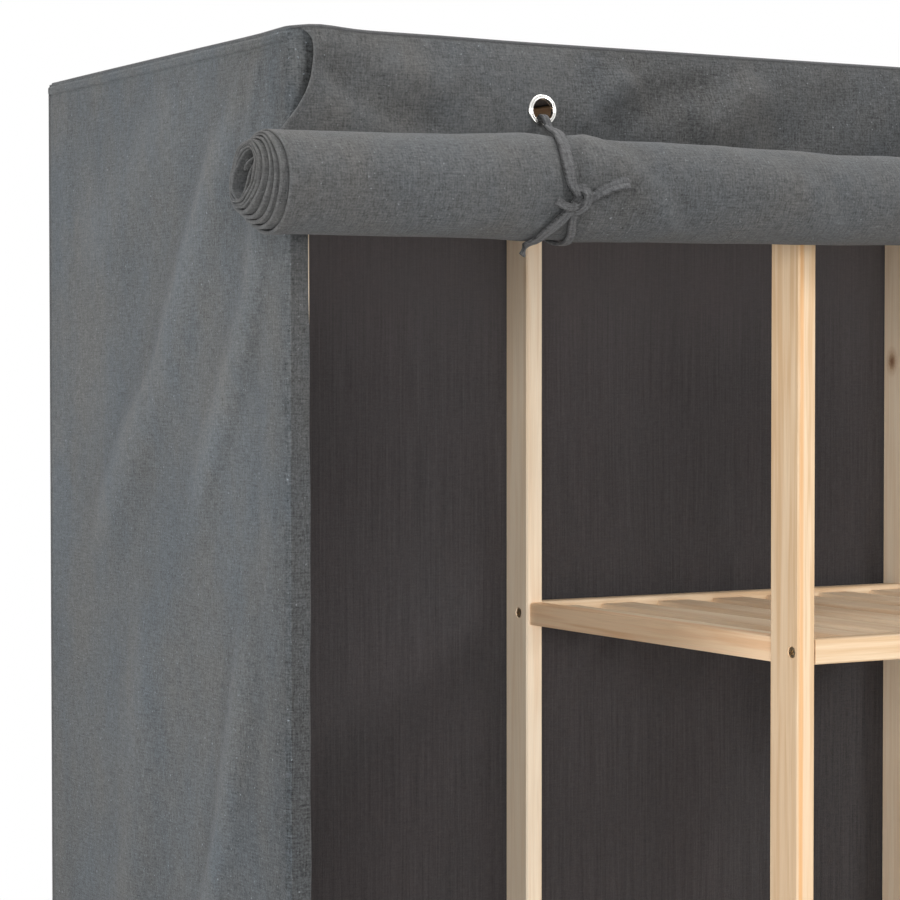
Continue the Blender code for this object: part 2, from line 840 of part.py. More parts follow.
def strap_path():
    """(y, z) along the loop: under the roll, up behind the flap, out of the eyelet, to the knot."""
    lift = SEAM_GAP + STRAP_THICKNESS / 2
    radius = ROLL_RADIUS + lift
    centre = (ROLL_Y, ROLL_AXIS_HEIGHT)
    middle = 180 - math.degrees(math.asin(KNOT_RISE / radius))
    half_knot = math.degrees((KNOT_HEIGHT / 2 + SEAM_GAP) / radius)
    steps = int(math.pi * radius / STRAP_STEP)
    under = arc(centre, radius, middle + half_knot, 360, steps)
    rear = FLAP_Y + CLOTH / 2 + SEAM_GAP + EYELET_LIP + lift
    through = EYELET_HEIGHT - STRAP_DROP
    back_bend = arc((rear - STRAP_BEND, through - STRAP_BEND), STRAP_BEND, 0, 90, 4)
    front = 2 * FLAP_Y - rear
    front_bend = arc((front + STRAP_BEND, through - STRAP_BEND), STRAP_BEND, 90, 180, 4)
    away = Vector((front - centre[0], through - STRAP_BEND - centre[1]))
    tangent = math.degrees(math.atan2(away.y, away.x) + math.acos(radius / away.length))
    steps = int(math.radians(middle - half_knot - tangent) * radius / STRAP_STEP)
    over = arc(centre, radius, tangent, middle - half_knot, max(steps, 2))
    return [*under, (rear, EYELET_HEIGHT - EYELET_RADIUS), *back_bend, *front_bend, *over]


def ribbon_rows(points, normals, width):
    """Two points across a flat strap at each place along it."""
    rows = []
    for i, (point, normal) in enumerate(zip(points, normals)):
        along = points[min(i + 1, len(points) - 1)] - points[max(i - 1, 0)]
        across = along.cross(normal).normalized() * width / 2
        rows.append([point + across, point - across])
    return rows


def eased(share):
    return share * share * (3 - 2 * share)


def make_straps():
    """Each tie's loop; it leans from the eyelet towards its knot."""
    path = strap_path()
    eyelet_at = max(range(len(path)), key=lambda i: path[i][1])
    made = []
    for side, x in tie_places():
        rows = []
        for i, (y, z) in enumerate(path):
            if i <= eyelet_at:
                share = 1 - eased(i / eyelet_at)
            else:
                share = eased((i - eyelet_at) / (len(path) - 1 - eyelet_at))
            middle = x + KNOT_SHIFT * share
            rows.append([(middle - STRAP_WIDTH / 2, y, z), (middle + STRAP_WIDTH / 2, y, z)])
        made.append(shell(side + "_tie_strap", rows, STRAP_THICKNESS, GREY_CLOTH))
    return made


def tail_rows(x, z, reach, rise):
    """A tail from inside the knot, over the strap's edge, and along the roll to its free end."""
    points, normals = [], []
    lying = SEAM_GAP + STRAP_THICKNESS / 2
    over = lying + STRAP_THICKNESS + SEAM_GAP
    for i in range(TAIL_STEPS + 1):
        share = i / TAIL_STEPS
        height = z + rise * share
        past_knot = (abs(reach) * share - KNOT_WIDTH / 2) / KNOT_WIDTH
        settled = eased(min(1.0, max(0.0, past_knot)))
        y, lean = on_roll(height, over + (lying - over) * settled)
        points.append(Vector((x + reach * share, y, height)))
        normals.append(Vector((0.0, -math.sqrt(1 - lean * lean), lean)))
    return ribbon_rows(points, normals, STRAP_WIDTH)


def bow_loop_rows(x, y, z):
    """The small loop on the left of the knot."""
    points, normals = [], []
    for i in range(BOW_STEPS + 1):
        angle = math.pi * (i / BOW_STEPS - 0.5)
        out, off = math.cos(angle), math.sin(angle)
        points.append(Vector((x - BOW_LOOP * out, y - BOW_LOOP_DEPTH * off, z)))
        normals.append(Vector((-out * BOW_LOOP_DEPTH, -off * BOW_LOOP, 0.0)).normalized())
    return ribbon_rows(points, normals, BOW_WIDTH)


def knot_mesh(place):
    builder = bmesh.new()
    size = Matrix.Diagonal((KNOT_WIDTH, KNOT_DEPTH, KNOT_HEIGHT, 1.0))
    matrix = Matrix.Translation(place) @ size
    bmesh.ops.create_uvsphere(builder, u_segments=10, v_segments=6, radius=0.5, matrix=matrix)
    return finish(builder, "knot")


def make_bows():
    """Each tie's knot with its two tails and its small loop coming out of it."""
    made = []
    z = ROLL_AXIS_HEIGHT + KNOT_RISE
    knot_y, _ = on_roll(z, SEAM_GAP + KNOT_DEPTH / 2)
    left_z = z - KNOT_HEIGHT * LEFT_TAIL_SINK_SHARE
    for side, tie_x in tie_places():
        x = tie_x + KNOT_SHIFT
        loop_x = x - KNOT_WIDTH * LOOP_SHIFT_SHARE
        name = side + "_tie_bow"
        bow = add(name, knot_mesh((x, knot_y, z)), GREY_CLOTH)
        strips = (
            ("_right_tail", tail_rows(x, z, RIGHT_TAIL, RIGHT_TAIL_RISE), STRAP_THICKNESS),
            ("_left_tail", tail_rows(x, left_z, -LEFT_TAIL, -LEFT_TAIL_FALL), STRAP_THICKNESS),
            ("_loop", bow_loop_rows(loop_x, knot_y - BOW_LOOP_DEPTH / 2, z), CLOTH),
        )
        for suffix, rows, thickness in strips:
            strip = shell("strip", rows, thickness, None)
            join(bow, add_cutter(name + suffix, applied(strip)))
            bpy.data.objects.remove(strip)
        made.append(bow)
    return made


def empty(name, place):
    made = bpy.data.objects.new(name, None)
    made.location = place
    PARTS.objects.link(made)
    return made


def attach(things, parent):
    bpy.context.view_layer.update()
    for thing in things:
        thing.parent = parent
        thing.matrix_parent_inverse = parent.matrix_world.inverted()


def depth_bounds():
    """The least and the greatest Y of the whole object."""
    graph = bpy.context.evaluated_depsgraph_get()
    ys = []
    for thing in PARTS.objects:
        if thing.type != "EMPTY":
            shaped = thing.evaluated_get(graph)
            mesh = shaped.to_mesh()
            ys += [(shaped.matrix_world @ v.co).y for v in mesh.vertices]
            shaped.to_mesh_clear()
    return min(ys), max(ys)


def build():
    make_posts()
    make_shelves()
    make_top_rails()
    make_side_rails()
    make_rod_rails()
    make_rods()
    make_side_panels()
    make_back_panel()
    make_roof()
    make_piping()
    moving = make_front_roll() + make_eyelets() + make_straps() + make_bows()
    hinge = empty("front_hinge", (0.0, FLAP_Y, SEAM_Z))
    attach(moving, hinge)
    root = empty("wardrobe", (0.0, 0.0, 0.0))
    attach([thing for thing in PARTS.objects if thing.parent is None and thing is not root], root)
    low, high = depth_bounds()
    root.location.y = -(low + high) / 2
    bpy.context.view_layer.update()
    print("moved by", root.location.y, "hinge at", list(hinge.matrix_world.translation))
    print("least gap between the roll's turns, mm:", least_roll_gap() / MILLIMETRE)


build()
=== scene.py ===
"""Looks of the fabric wardrobe: cloth cover, rolled-up front with its ties, and pine frame."""

import math

import bmesh
import bpy
import numpy as np
from mathutils import Matrix, Vector, noise


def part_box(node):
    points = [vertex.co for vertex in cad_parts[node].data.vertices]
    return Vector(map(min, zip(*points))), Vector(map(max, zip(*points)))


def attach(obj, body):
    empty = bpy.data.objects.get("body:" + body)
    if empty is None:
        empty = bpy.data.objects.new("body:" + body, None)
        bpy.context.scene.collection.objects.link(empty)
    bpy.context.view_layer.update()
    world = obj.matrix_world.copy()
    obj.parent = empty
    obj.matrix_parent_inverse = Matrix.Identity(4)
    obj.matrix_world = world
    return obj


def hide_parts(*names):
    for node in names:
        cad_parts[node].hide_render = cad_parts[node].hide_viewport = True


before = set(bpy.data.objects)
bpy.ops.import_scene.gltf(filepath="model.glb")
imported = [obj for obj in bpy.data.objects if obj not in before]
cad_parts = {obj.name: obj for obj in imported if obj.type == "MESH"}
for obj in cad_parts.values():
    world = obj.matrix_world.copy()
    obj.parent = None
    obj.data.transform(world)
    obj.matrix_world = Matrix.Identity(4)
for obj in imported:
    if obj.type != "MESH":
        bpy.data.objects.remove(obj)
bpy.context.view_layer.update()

MM = 0.001
UP = Vector((0, 0, 1))

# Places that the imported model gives
SIDE_LOW, SIDE_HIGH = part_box("cover_left_panel")
HALF_WIDTH = -SIDE_LOW.x
FRONT_Y = SIDE_LOW.y
HEM_Z = SIDE_LOW.z
PANEL_TOP = SIDE_HIGH.z
BACK_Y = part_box("cover_back_panel")[1].y
DEPTH = BACK_Y - FRONT_Y
SEAM_Z = sum(corner.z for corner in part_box("cover_piping")) / 2
POST_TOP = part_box("left_outer_front_post")[1].z
FLAP_Y = sum(corner.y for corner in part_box("left_eyelet")) / 2

# The cover's cloth, its piping and its seams
CLOTH = 0.9 * MM
THREAD_PITCH = 0.75 * MM
PIPING_RADIUS = 1.3 * MM
PIPING_LOOK = 1.05 * MM
PIPING_CORNER = 6 * MM
BACK_SEAM = 1.9 * MM
BACK_CORNER = 4.5 * MM
SEAM_BAND = 5.0 * MM
STITCH_LINE = 4.6 * MM
STITCH_STEP = 2.0 * MM
STITCH_SHARE = 0.74
LONGEST_STITCH = 4 * MM
THREAD_LIFT = 0.05 * MM
HEM_STITCH = 14 * MM
FRONT_STRIP = 15.5 * MM
PANEL_CORNER = 4.5 * MM
CORNER_BULGE = 5 * MM
POST_REACH = 34.4 * MM
FOLD_RISE = 1.4
FLAP_FOLD_RISE = 1.5
LEAST_SAG = -2.0 * MM
TOP_Z = SEAM_Z + PIPING_RADIUS
FLAP_TOP = SEAM_Z - PIPING_RADIUS * 0.6
ROOF_LIFT = 0.9 * MM
SEAM_REACH = 45 * MM

# The roll's axis, its outer radius and how it is wound
ROLL_Y = -0.19597
ROLL_Z = 1.602
ROLL_RADIUS = 33.5 * MM
TURNS = 12
LOOSE_TURNS = 5
OUTER_TURNS = 1.3
TURN_STEPS = 48
# (turn, half height, half depth) of its winding, in mm
TURN_SIZES = (
    (0, 33.05, 33.05), (5, 20.4, 20.4), (11, 15.2, 15.2), (11.25, 14.6, 10.5),
    (11.5, 14.2, 5.5), (11.75, 13.0, 4.5), (TURNS, 9.0, 2.5),
)
CORE_LEAN = math.radians(27)
CORE_LIFT = 3.2 * MM
END_TILT = 3.6 * MM
END_SAG = 0.7 * MM

# Its cloth: shares of the full thickness, which the doubled hem has under the roll; the hem's
# width and stitch lines; and the divisions of its mesh, which is coarse where it is hidden
SINGLE_SHARE = 0.41
INNER_SHARE = 0.33
HEM_SHARE = 0.55
FULL_THICKNESS = CLOTH / SINGLE_SHARE
HEM_WIDTH = 7.5 * MM
HEM_LINES = (4.3 * MM, 6.6 * MM)
HEM_EDGE = 1.6 * MM
END_HALF = 0.63
FLAP_ROWS = 30
OUTER_ROWS = 90
END_COLUMNS = 8
MIDDLE_STEP = 16

# Eyelets and ties
TIE_X = {"left": -0.4205, "middle": 0.0, "right": 0.424}
EYELET_Z = 1.65492
EYELET_CUT = 8.0 * MM
EYELET_BULGE = 10.5 * MM
TAPE_WIDTH = 7.0 * MM
TAPE_THICKNESS = 2.3 * MM

# The frame's timber and screws
RAIL_THICKNESS = 15 * MM
RAIL_HEIGHT = 18 * MM
RAIL_EDGE = 2.2 * MM
POST_WIDTH = 15 * MM
WOOD_GAP = 0.3 * MM
SLATS = 7
SLAT_WIDTH = 31 * MM
SLAT_THICKNESS = 8.5 * MM
SLAT_EDGE = 1.3 * MM
SLAT_DROP = 4 * MM
SLAT_MARGIN = 4.5 * MM
SLAT_HOUSING = 6 * MM
SCREW_HEAD = 4.3 * MM
SCREW_SUNK = 0.1 * MM

# Camera, lamps and floor
CAMERA_PLACE = (-1.3788, -1.7309, 1.4864)
CAMERA_TURN = (29.72, -1.655, -0.035)
CAMERA_LENS = 111.84
WORLD_LIGHT = 0.25
# name: place, what it points at, size, power and colour if it isn't white
LAMPS = {
    "key": ((2.4, -3.1, 3.3), (0.0, 0.0, 1.4), (1.2, 1.2), 88.0, (1.0, 0.985, 0.965)),
    "front": ((-2.5, -4.15, 1.85), (0.0, 0.0, 1.3), (1.8, 1.4), 112.0),
    "left": ((-4.8, -1.2, 1.55), (-0.4, 0.0, 1.3), (1.4, 2.0), 96.0),
    "back": ((4.0, 3.4, 2.4), (0.0, 0.0, 1.0), (2.0, 2.0), 190.0),
    "inside": ((0.0, 0.02, 1.655), (0.0, 0.02, 0.0), (1.14, 0.26), 0.6),
    "top": ((-0.2, -0.3, 4.6), (0.0, 0.0, 1.6), (2.4, 2.0), 76.0),
}
FLOOR_RADIUS = 3.2
FLOOR_FADE = (1.1, 2.9)


def smoothstep(value):
    value = np.clip(value, 0.0, 1.0)
    return value * value * (3 - 2 * value)


def rising(value, start, width):
    """0 up to the start, and 1 from a width beyond it."""
    return smoothstep((value - start) / width)


def falling(value, end, width):
    """1 until a width before the end, and 0 from the end on."""
    return smoothstep((end - value) / width)


def hill(value, centre, width):
    return np.exp(-(((value - centre) / width) ** 2))


def between(value, table, column=1, scale=1.0):
    """Reads a table of rows that start with a place, and fills in between its rows."""
    columns = list(zip(*table))
    return np.interp(value, np.array(columns[0]) * scale, columns[column])


def perlin(points, scale, seed):
    """Smooth noise from -1 to 1 at an array of 3-D points."""
    flat = np.asarray(points, float).reshape(-1, 3) * scale
    found = [noise.noise(Vector((x + seed, y - seed, z + 2 * seed))) for x, y, z in flat]
    return np.array(found).reshape(np.asarray(points).shape[:-1])


def line_field(u, v, points, low_width, high_width):
    """A ridge along a broken line: 1 on it, falling off to each side, faded at its ends."""
    best = np.full(u.shape, 1e9)
    signed = np.zeros(u.shape)
    share = np.zeros(u.shape)
    lengths = np.hypot(*(points[1:] - points[:-1]).T)
    total, before = lengths.sum(), 0.0
    for (u0, v0), (u1, v1), length in zip(points[:-1], points[1:], lengths):
        du, dv = (u1 - u0) / length, (v1 - v0) / length
        along = np.clip((u - u0) * du + (v - v0) * dv, 0, length)
        off_u, off_v = u - (u0 + du * along), v - (v0 + dv * along)
        away = np.hypot(off_u, off_v)
        closer = away < best
        best = np.where(closer, away, best)
        signed = np.where(closer, np.sign(off_u * dv - off_v * du), signed)
        share = np.where(closer, (before + along) / total, share)
        before += length
    width = np.where(signed > 0, high_width, low_width)
    ends = smoothstep(share / 0.25) * smoothstep((1 - share) / 0.25)
    return np.exp(-((best / width) ** 2)) * ends


def folds_at(u, v, folds, scale=MM):
    """The folds' height; a fold is its height, its width on each side and its points, in mm."""
    total = np.zeros(u.shape)
    for rise, low_width, high_width, *line in folds:
        points = np.array(line, float) * scale
        total += rise * MM * line_field(u, v, points, low_width * MM, high_width * MM)
    return total


def run_along(points):
    """The length of a line of points up to each one."""
    return np.concatenate([[0], np.cumsum(np.linalg.norm(np.diff(points, axis=0), axis=1))])


# Meshes


def declare(piece, body, node=None):
    """The body that a piece rides on, and the node that it stands for."""
    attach(piece, body)
    if node:
        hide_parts(node)


def new_object(name, data):
    made = bpy.data.objects.new(name, data)
    bpy.context.scene.collection.objects.link(made)
    return made


def set_painted_shading(mesh, wear_and_shading, name="wear_and_shading"):
    """Stores the painted light and shade of the cloth at each point: how much lighter or darker it
    is drawn.
    """
    layer = mesh.attributes.new(name, "FLOAT", "POINT")
    layer.data.foreach_set("value", np.asarray(wear_and_shading, np.float32).ravel())


def set_uv(mesh, uv, corners):
    layer = mesh.uv_layers.new(name="cloth")
    layer.data.foreach_set("uv", uv.reshape(-1, 2)[corners].astype(np.float32).ravel())


def fold_painted_shading(swell, step, amount):
    """Painted shading: the cloth is drawn a little lighter on its folds and darker in the hollows
    between them; the swell is in metres.
    """
    rows, columns = swell.shape
    wide = np.pad(swell, step, "edge")
    near = np.zeros(swell.shape)
    for down, right in ((2, 1), (0, 1), (1, 2), (1, 0)):
        near += wide[down * step :, right * step :][:rows, :columns] / 4
    return np.clip((swell - near) / MM * amount, -0.22, 0.16)


def quads(index):
    """The four-sided faces of a rows by columns array of vertex numbers."""
    faces = np.stack([index[:-1, :-1], index[:-1, 1:], index[1:, 1:], index[1:, :-1]], -1)
    return faces.reshape(-1, 4)


def surface(name, points, uv, looks, wear_and_shading=None):
    """A sheet through a rows by columns array of points, with a UV map in metres."""
    faces = quads(np.arange(points[..., 0].size).reshape(points.shape[:2]))
    mesh = bpy.data.meshes.new(name)
    mesh.from_pydata(points.reshape(-1, 3).tolist(), [], faces.tolist())
    set_uv(mesh, uv, faces.ravel())
    if wear_and_shading is not None:
        set_painted_shading(mesh, wear_and_shading)
    mesh.shade_smooth()
    for look in looks:
        mesh.materials.append(look)
    return new_object(name, mesh)


def thicken(sheet, thickness=CLOTH, **settings):
    modifier = sheet.modifiers.new("Thickness", "SOLIDIFY")
    modifier.thickness = thickness
    modifier.offset = 0.0
    modifier.use_even_offset = False
    for key, value in settings.items():
        setattr(modifier, key, value)


def object_from(builder, name, look, smooth_angle=None):
    mesh = bpy.data.meshes.new(name)
    builder.to_mesh(mesh)
    builder.free()
    mesh.materials.append(look)
    if smooth_angle is not None:
        mesh.shade_smooth()
        mesh.set_sharp_from_angle(angle=math.radians(smooth_angle))
    return new_object(name, mesh)


def cut(target, cutter, **settings):
    """The target's mesh with all its modifiers, less the cutter's shape; the cutter goes."""
    modifier = target.modifiers.new("Cut", "BOOLEAN")
    modifier.operation = "DIFFERENCE"
    modifier.solver = "EXACT"
    modifier.object = cutter
    for key, value in settings.items():
        setattr(modifier, key, value)
    graph = bpy.context.evaluated_depsgraph_get()
    mesh, whole = bpy.data.meshes.new_from_object(target.evaluated_get(graph)), target.data
    target.modifiers.clear()
    target.data = mesh
    bpy.data.meshes.remove(whole)
    bpy.data.objects.remove(cutter)


def join_rings(builder, rings, closed=False, capped=True):
    """Faces from each ring of vertices to the next, and over the two ends."""
    for first, second in zip(rings, rings[1:] + (rings[:1] if closed else [])):
        for k, vertex in enumerate(first):
            j = (k + 1) % len(first)
            builder.faces.new((vertex, first[j], second[j], second[k]))
    if capped and not closed:
        builder.faces.new(rings[0][::-1])
        builder.faces.new(rings[-1])


def turned(builder, profile, sides, closed):
    """A profile of (radius, height) points turned about Z."""
    angles = [2 * math.pi * k / sides for k in range(sides)]
    rings = [
        [builder.verts.new((r * math.cos(a), r * math.sin(a), z)) for a in angles]
        for r, z in profile
    ]
    join_rings(builder, rings, closed, capped=False)
    bmesh.ops.remove_doubles(builder, verts=builder.verts, dist=1e-6)
    bmesh.ops.recalc_face_normals(builder, faces=builder.faces)


def section(points, i, normal, closed=False):
    """The ways across and up a line at one of its points; the normal faces its thin side."""
    if closed:
        along = points[(i + 1) % len(points)] - points[i - 1]
    else:
        along = points[min(i + 1, len(points) - 1)] - points[max(i - 1, 0)]
    across = along.cross(normal).normalized()
    return across, across.cross(along).normalized()


def round_tube(builder, points, normal, width, sides, closed=False):
    """A round tube along a line."""
    rings = []
    for i, point in enumerate(points):
        across, up = section(points, i, normal, closed)
        angles = [2 * math.pi * k / sides for k in range(sides)]
        rings.append([
            builder.verts.new(point + (across * math.cos(a) + up * math.sin(a)) * width / 2)
            for a in angles
        ])
    join_rings(builder, rings, closed)


def spline_points(controls, step):
    """Points every step or so along a smooth curve through the control points."""
    ends = [2 * controls[0] - controls[1], *controls, 2 * controls[-1] - controls[-2]]
    points = []
    for p0, p1, p2, p3 in zip(ends, ends[1:], ends[2:], ends[3:]):
        pieces = max(2, int((p2 - p1).length / step))
        for k in range(pieces):
            t = k / pieces
            bend = (2 * p0 - 5 * p1 + 4 * p2 - p3) * t * t
            twist = (3 * p1 - p0 - 3 * p2 + p3) * t * t * t
            points.append(0.5 * (2 * p1 + (p2 - p0) * t + bend + twist))
    points.append(controls[-1])
    return points


# Materials


class Value:
    """A node's output; arithmetic on it adds nodes."""

    def __init__(self, nodes, output):
        self.nodes, self.output = nodes, output

    def __add__(self, other):
        return self.nodes.math("ADD", self, other)

    def __sub__(self, other):
        return self.nodes.math("SUBTRACT", self, other)

    def __mul__(self, other):
        return self.nodes.math("MULTIPLY", self, other)


class Nodes:
    """The node tree of a material or a world, and short calls that add to it."""

    def __init__(self, owner):
        owner.use_nodes = True
        self.owner, self.tree = owner, owner.node_tree

    def put(self, inputs, values):
        """Sets inputs to constants, or links them to other nodes' outputs."""
        for key, value in values.items():
            if isinstance(value, Value):
                self.tree.links.new(value.output, inputs[key])
            elif inputs[key].type == "RGBA":
                inputs[key].default_value = (*value, 1.0)
            else:
                inputs[key].default_value = value

    def add(self, kind, values=None, out=0, **settings):
        """A new node's output, by its name or its number."""
        made = self.tree.nodes.new(kind)
        for key, value in settings.items():
            setattr(made, key, value)
        self.put(made.inputs, values or {})
        return Value(self, made.outputs[out])

    def math(self, operation, *values):
        return self.add("ShaderNodeMath", dict(enumerate(values)), operation=operation)

    def vector(self, operation, first, second=(0, 0, 0), out=0):
        return self.add("ShaderNodeVectorMath", {0: first, 1: second}, out, operation=operation)

    def coordinates(self, kind="Object", scale=(1, 1, 1), location=(0, 0, 0)):
        values = {"Vector": self.add("ShaderNodeTexCoord", out=kind), "Scale": scale}
        return self.add("ShaderNodeMapping", {**values, "Location": location})

    def split(self, vector, out):
        return self.add("ShaderNodeSeparateXYZ", {0: vector}, out)

    def noise(self, vector, scale, detail=2.0, roughness=0.5, distortion=0.0):
        values = {"Vector": vector, "Scale": scale, "Detail": detail}
        values |= {"Roughness": roughness, "Distortion": distortion}
        return self.add("ShaderNodeTexNoise", values, "Fac")

    def ramp(self, value, low, high, start=0.0, end=1.0, **settings):
        """A value between low and high becomes one between start and end."""
        limits = {"From Min": low, "From Max": high, "To Min": start, "To Max": end}
        return self.add("ShaderNodeMapRange", {"Value": value, **limits}, "Result", **settings)

    def mix(self, factor, first, second):
        return self.add("ShaderNodeMix", {0: factor, 6: first, 7: second}, 2, data_type="RGBA")

    def brightness(self, colour, factor):
        return self.add("ShaderNodeHueSaturation", {"Color": colour, "Value": factor})

    def shade(self, **inputs):
        """Gives the material's shader its inputs, whose names have _ for each space."""
        shader = self.tree.nodes["Principled BSDF"]
        self.put(shader.inputs, {key.replace("_", " "): value for key, value in inputs.items()})
        return self.owner

    def bump(self, height, distance, strength):
        values = {"Strength": strength, "Distance": distance, "Height": height}
        return self.add("ShaderNodeBump", values)

    def seen(self):
        """1 where the camera, a reflection or a transmission looks, and 0 for light."""
        kinds = ("Is Camera Ray", "Is Glossy Ray", "Is Transmission Ray")
        camera, glossy, through = (self.add("ShaderNodeLightPath", out=kind) for kind in kinds)
        return self.math("MAXIMUM", self.math("MAXIMUM", camera, glossy), through)


def new_material(name):
    return Nodes(bpy.data.materials.new(name))


def spread(source, amount):
    """A noise about zero."""
    return (source - 0.5) * amount


def woven(
    name, colour, second_colour, fleck=1.0, streak=0.0, light_flecks=0.5,
    relief=0.16 * MM, patches=0.42, shading_attribute="wear_and_shading",
):
    """Plain-woven melange cloth; its threads follow the UV map, which is in metres. Its brightness
    also takes the painted light and shade stored in the named attribute.
    """
    n = new_material(name)
    uv = n.coordinates("UV")
    wobble = n.noise(uv, 60.0)
    turn = 2 * math.pi / THREAD_PITCH
    warp = n.math("SINE", (n.split(uv, 0) + wobble * (0.6 * MM)) * turn)
    weft = n.math("SINE", (n.split(uv, 1) + wobble * (0.5 * MM)) * turn)
    weave = warp * weft

    def threads(scale, location, detail=2.0, roughness=0.6):
        return n.noise(n.coordinates("UV", (*scale, 1), (*location, 0)), 1.0, detail, roughness)

    slub_warp = threads((950, 85), (0, 0))
    slub_weft = threads((85, 900), (31, 7))
    melange = threads((640, 640), (3, 5), 3.0, 0.7)
    clumps = threads((210, 210), (9, 2))
    broad = n.noise(n.coordinates(), 7.0, 3.0, 0.55)
    tint = n.noise(n.coordinates("Object", (1, 1, 0.55), (4, 2, 9)), 15.0, 4.0, 0.65)

    value = spread(slub_warp, 0.55 * fleck) + spread(slub_weft, 0.50 * fleck)
    value = value + spread(melange, 1.05 * fleck) + spread(clumps, 0.34 * fleck)
    value = value + spread(broad, patches) + weave * 0.05
    if streak:
        value = value + spread(threads((620, 9), (2, 3), roughness=0.7), streak)
    # The attribute's painted light and shade make the cloth lighter or darker
    value = value + n.add("ShaderNodeAttribute", out="Fac", attribute_name=shading_attribute) + 1.0
    base = n.brightness(n.mix(n.ramp(tint, 0.36, 0.64), colour, second_colour), value)
    if light_flecks:
        speck = threads((430, 430), (11, 17), 1.0, 0.5)
        lighter = tuple(c * 2.6 + 0.03 for c in colour)
        base = n.mix(n.ramp(speck, 0.70, 0.80) * light_flecks, base, lighter)
    height = weave * 0.4 + melange * 2.2 + slub_warp * 1.2 + slub_weft * 1.2
    return n.shade(
        Base_Color=base, Roughness=n.ramp(melange, 0.3, 0.7, 0.86, 0.97), Specular_IOR_Level=0.25,
        Sheen_Weight=0.12, Sheen_Roughness=0.5, Normal=n.bump(height, relief, 0.8),
    )


# Colours in the wood
PINE_LIGHT = (0.765, 0.585, 0.397)
PINE_DARK = (0.630, 0.425, 0.246)
PALE_WOOD = (0.84, 0.665, 0.47)
WARM_WOOD = (0.66, 0.40, 0.215)
STRIPE_WOOD = (0.72, 0.37, 0.135)
SMALL_KNOT = ((0.62, 0.36, 0.17), (0.24, 0.105, 0.045))
LARGE_KNOT = ((0.50, 0.28, 0.135), (0.20, 0.082, 0.035))
KNOT_STRETCH = (150.0, 150.0, 95.0)


def pine(
    name, grain, seed=0.0, light=PINE_LIGHT, dark=PINE_DARK, board_scale=9.0,
    stripe=None, knot=None,
):
    """Planed pine whose grain runs along one axis; it may have one stripe or one larger knot."""
    n = new_material(name)
    axis = "XYZ".index(grain)

    def along_grain(across, along, location):
        scale = [across] * 3
        scale[axis] = along
        return n.coordinates("Object", tuple(scale), location)

    def stretched(across, along, offset):
        return along_grain(across, along, (offset + seed, offset * 2 - seed, offset * 3))

    warp = n.noise(stretched(5, 1.2, 3), 1.0)
    wide = n.noise(stretched(1.0, 0.035, 1), 170.0, 2.0, 0.55, 0.4)
    fine = n.noise(stretched(1.0, 0.02, 5), 620.0, 3.0, 0.6, 0.2)
    fibres = n.noise(stretched(1.0, 0.012, 7), 2300.0, 2.0, 0.6)
    board = n.noise(stretched(board_scale, 0.8, 11), 1.0)
    warmth = n.noise(stretched(board_scale * 1.3, 0.9, 17), 1.0)

    rings = n.ramp(wide, 0.42, 0.66) * 0.95 + n.ramp(fine, 0.45, 0.75) * 0.35
    colour = n.mix(rings, light, dark)
    colour = n.mix(n.ramp(warp, 0.4, 0.75) * 0.3, colour, PALE_WOOD)
    colour = n.mix(n.ramp(warmth, 0.5, 0.72) * 0.34, colour, WARM_WOOD)
    if stripe is not None:
        # One warm growth ring that comes out of the wood along a corner
        place = n.split(n.coordinates(), 0) + spread(wide, 2.5 * MM) - stripe
        band = n.ramp(n.math("ABSOLUTE", place), 2.2 * MM, 0.9 * MM)
        band = band * n.ramp(warp, 0.2, 0.6, 0.55, 1.0)
        colour = n.mix(band * 0.75, colour, STRIPE_WOOD)
    colour = n.brightness(colour, spread(fibres, 0.24) + 1.0 + spread(board, 0.2))

    # Sparse small knots with a darker ring around each
    place = along_grain(26.0, 7.5, (seed + 0.37, seed * 2, 0.11))
    settings = {"Vector": place, "Scale": 1.0, "Randomness": 1.0}
    chosen = n.add("ShaderNodeTexVoronoi", settings, "Color", feature="F1")
    away = n.add("ShaderNodeTexVoronoi", settings, "Distance", feature="F1")
    picked = n.math("GREATER_THAN", n.add("ShaderNodeSeparateColor", {0: chosen}), 0.85)
    away = away + spread(fine, 0.05)
    colour = n.mix(n.ramp(away, 0.20, 0.06) * picked * 0.45, colour, SMALL_KNOT[0])
    colour = n.mix(n.ramp(away, 0.075, 0.045) * picked * 0.85, colour, SMALL_KNOT[1])
    if knot is not None:
        # The knot that the photograph shows on this post
        off = n.vector("SUBTRACT", n.coordinates(), knot)
        away = n.vector("LENGTH", n.vector("MULTIPLY", off, KNOT_STRETCH), out="Value")
        away = away + spread(n.noise(n.coordinates(), 520.0, 2.0, 0.6), 0.45)
        colour = n.mix(n.ramp(away, 1.35, 0.6) * 0.55, colour, LARGE_KNOT[0])
        colour = n.mix(n.ramp(away, 0.72, 0.2) * 0.8, colour, LARGE_KNOT[1])
    height = fibres * 0.6 + wide * 0.8
    return n.shade(
        Base_Color=colour, Roughness=n.ramp(fine, 0.3, 0.7, 0.50, 0.64),
        Specular_IOR_Level=0.35, Normal=n.bump(height, 0.10 * MM, 0.5),
    )


def metal(name, colour, roughness, wear_and_shading=0.12):
    n = new_material(name)
    smudge = n.noise(n.coordinates(), 900.0, 3.0, 0.6)
    dull = tuple(c * 0.55 for c in colour)
    return n.shade(
        Base_Color=n.mix(n.ramp(smudge, 0.45, 0.75) * wear_and_shading, colour, dull), Metallic=1.0,
        Roughness=n.ramp(smudge, 0.3, 0.7, roughness * 0.8, roughness * 1.3),
        Normal=n.bump(smudge, 0.02 * MM, 0.4),
    )


def thread(name, colour):
    n = new_material(name)
    value = n.ramp(n.noise(n.coordinates(), 1500.0), 0.3, 0.7, 0.9, 1.1)
    return n.shade(Base_Color=n.brightness(colour, value), Roughness=0.8)


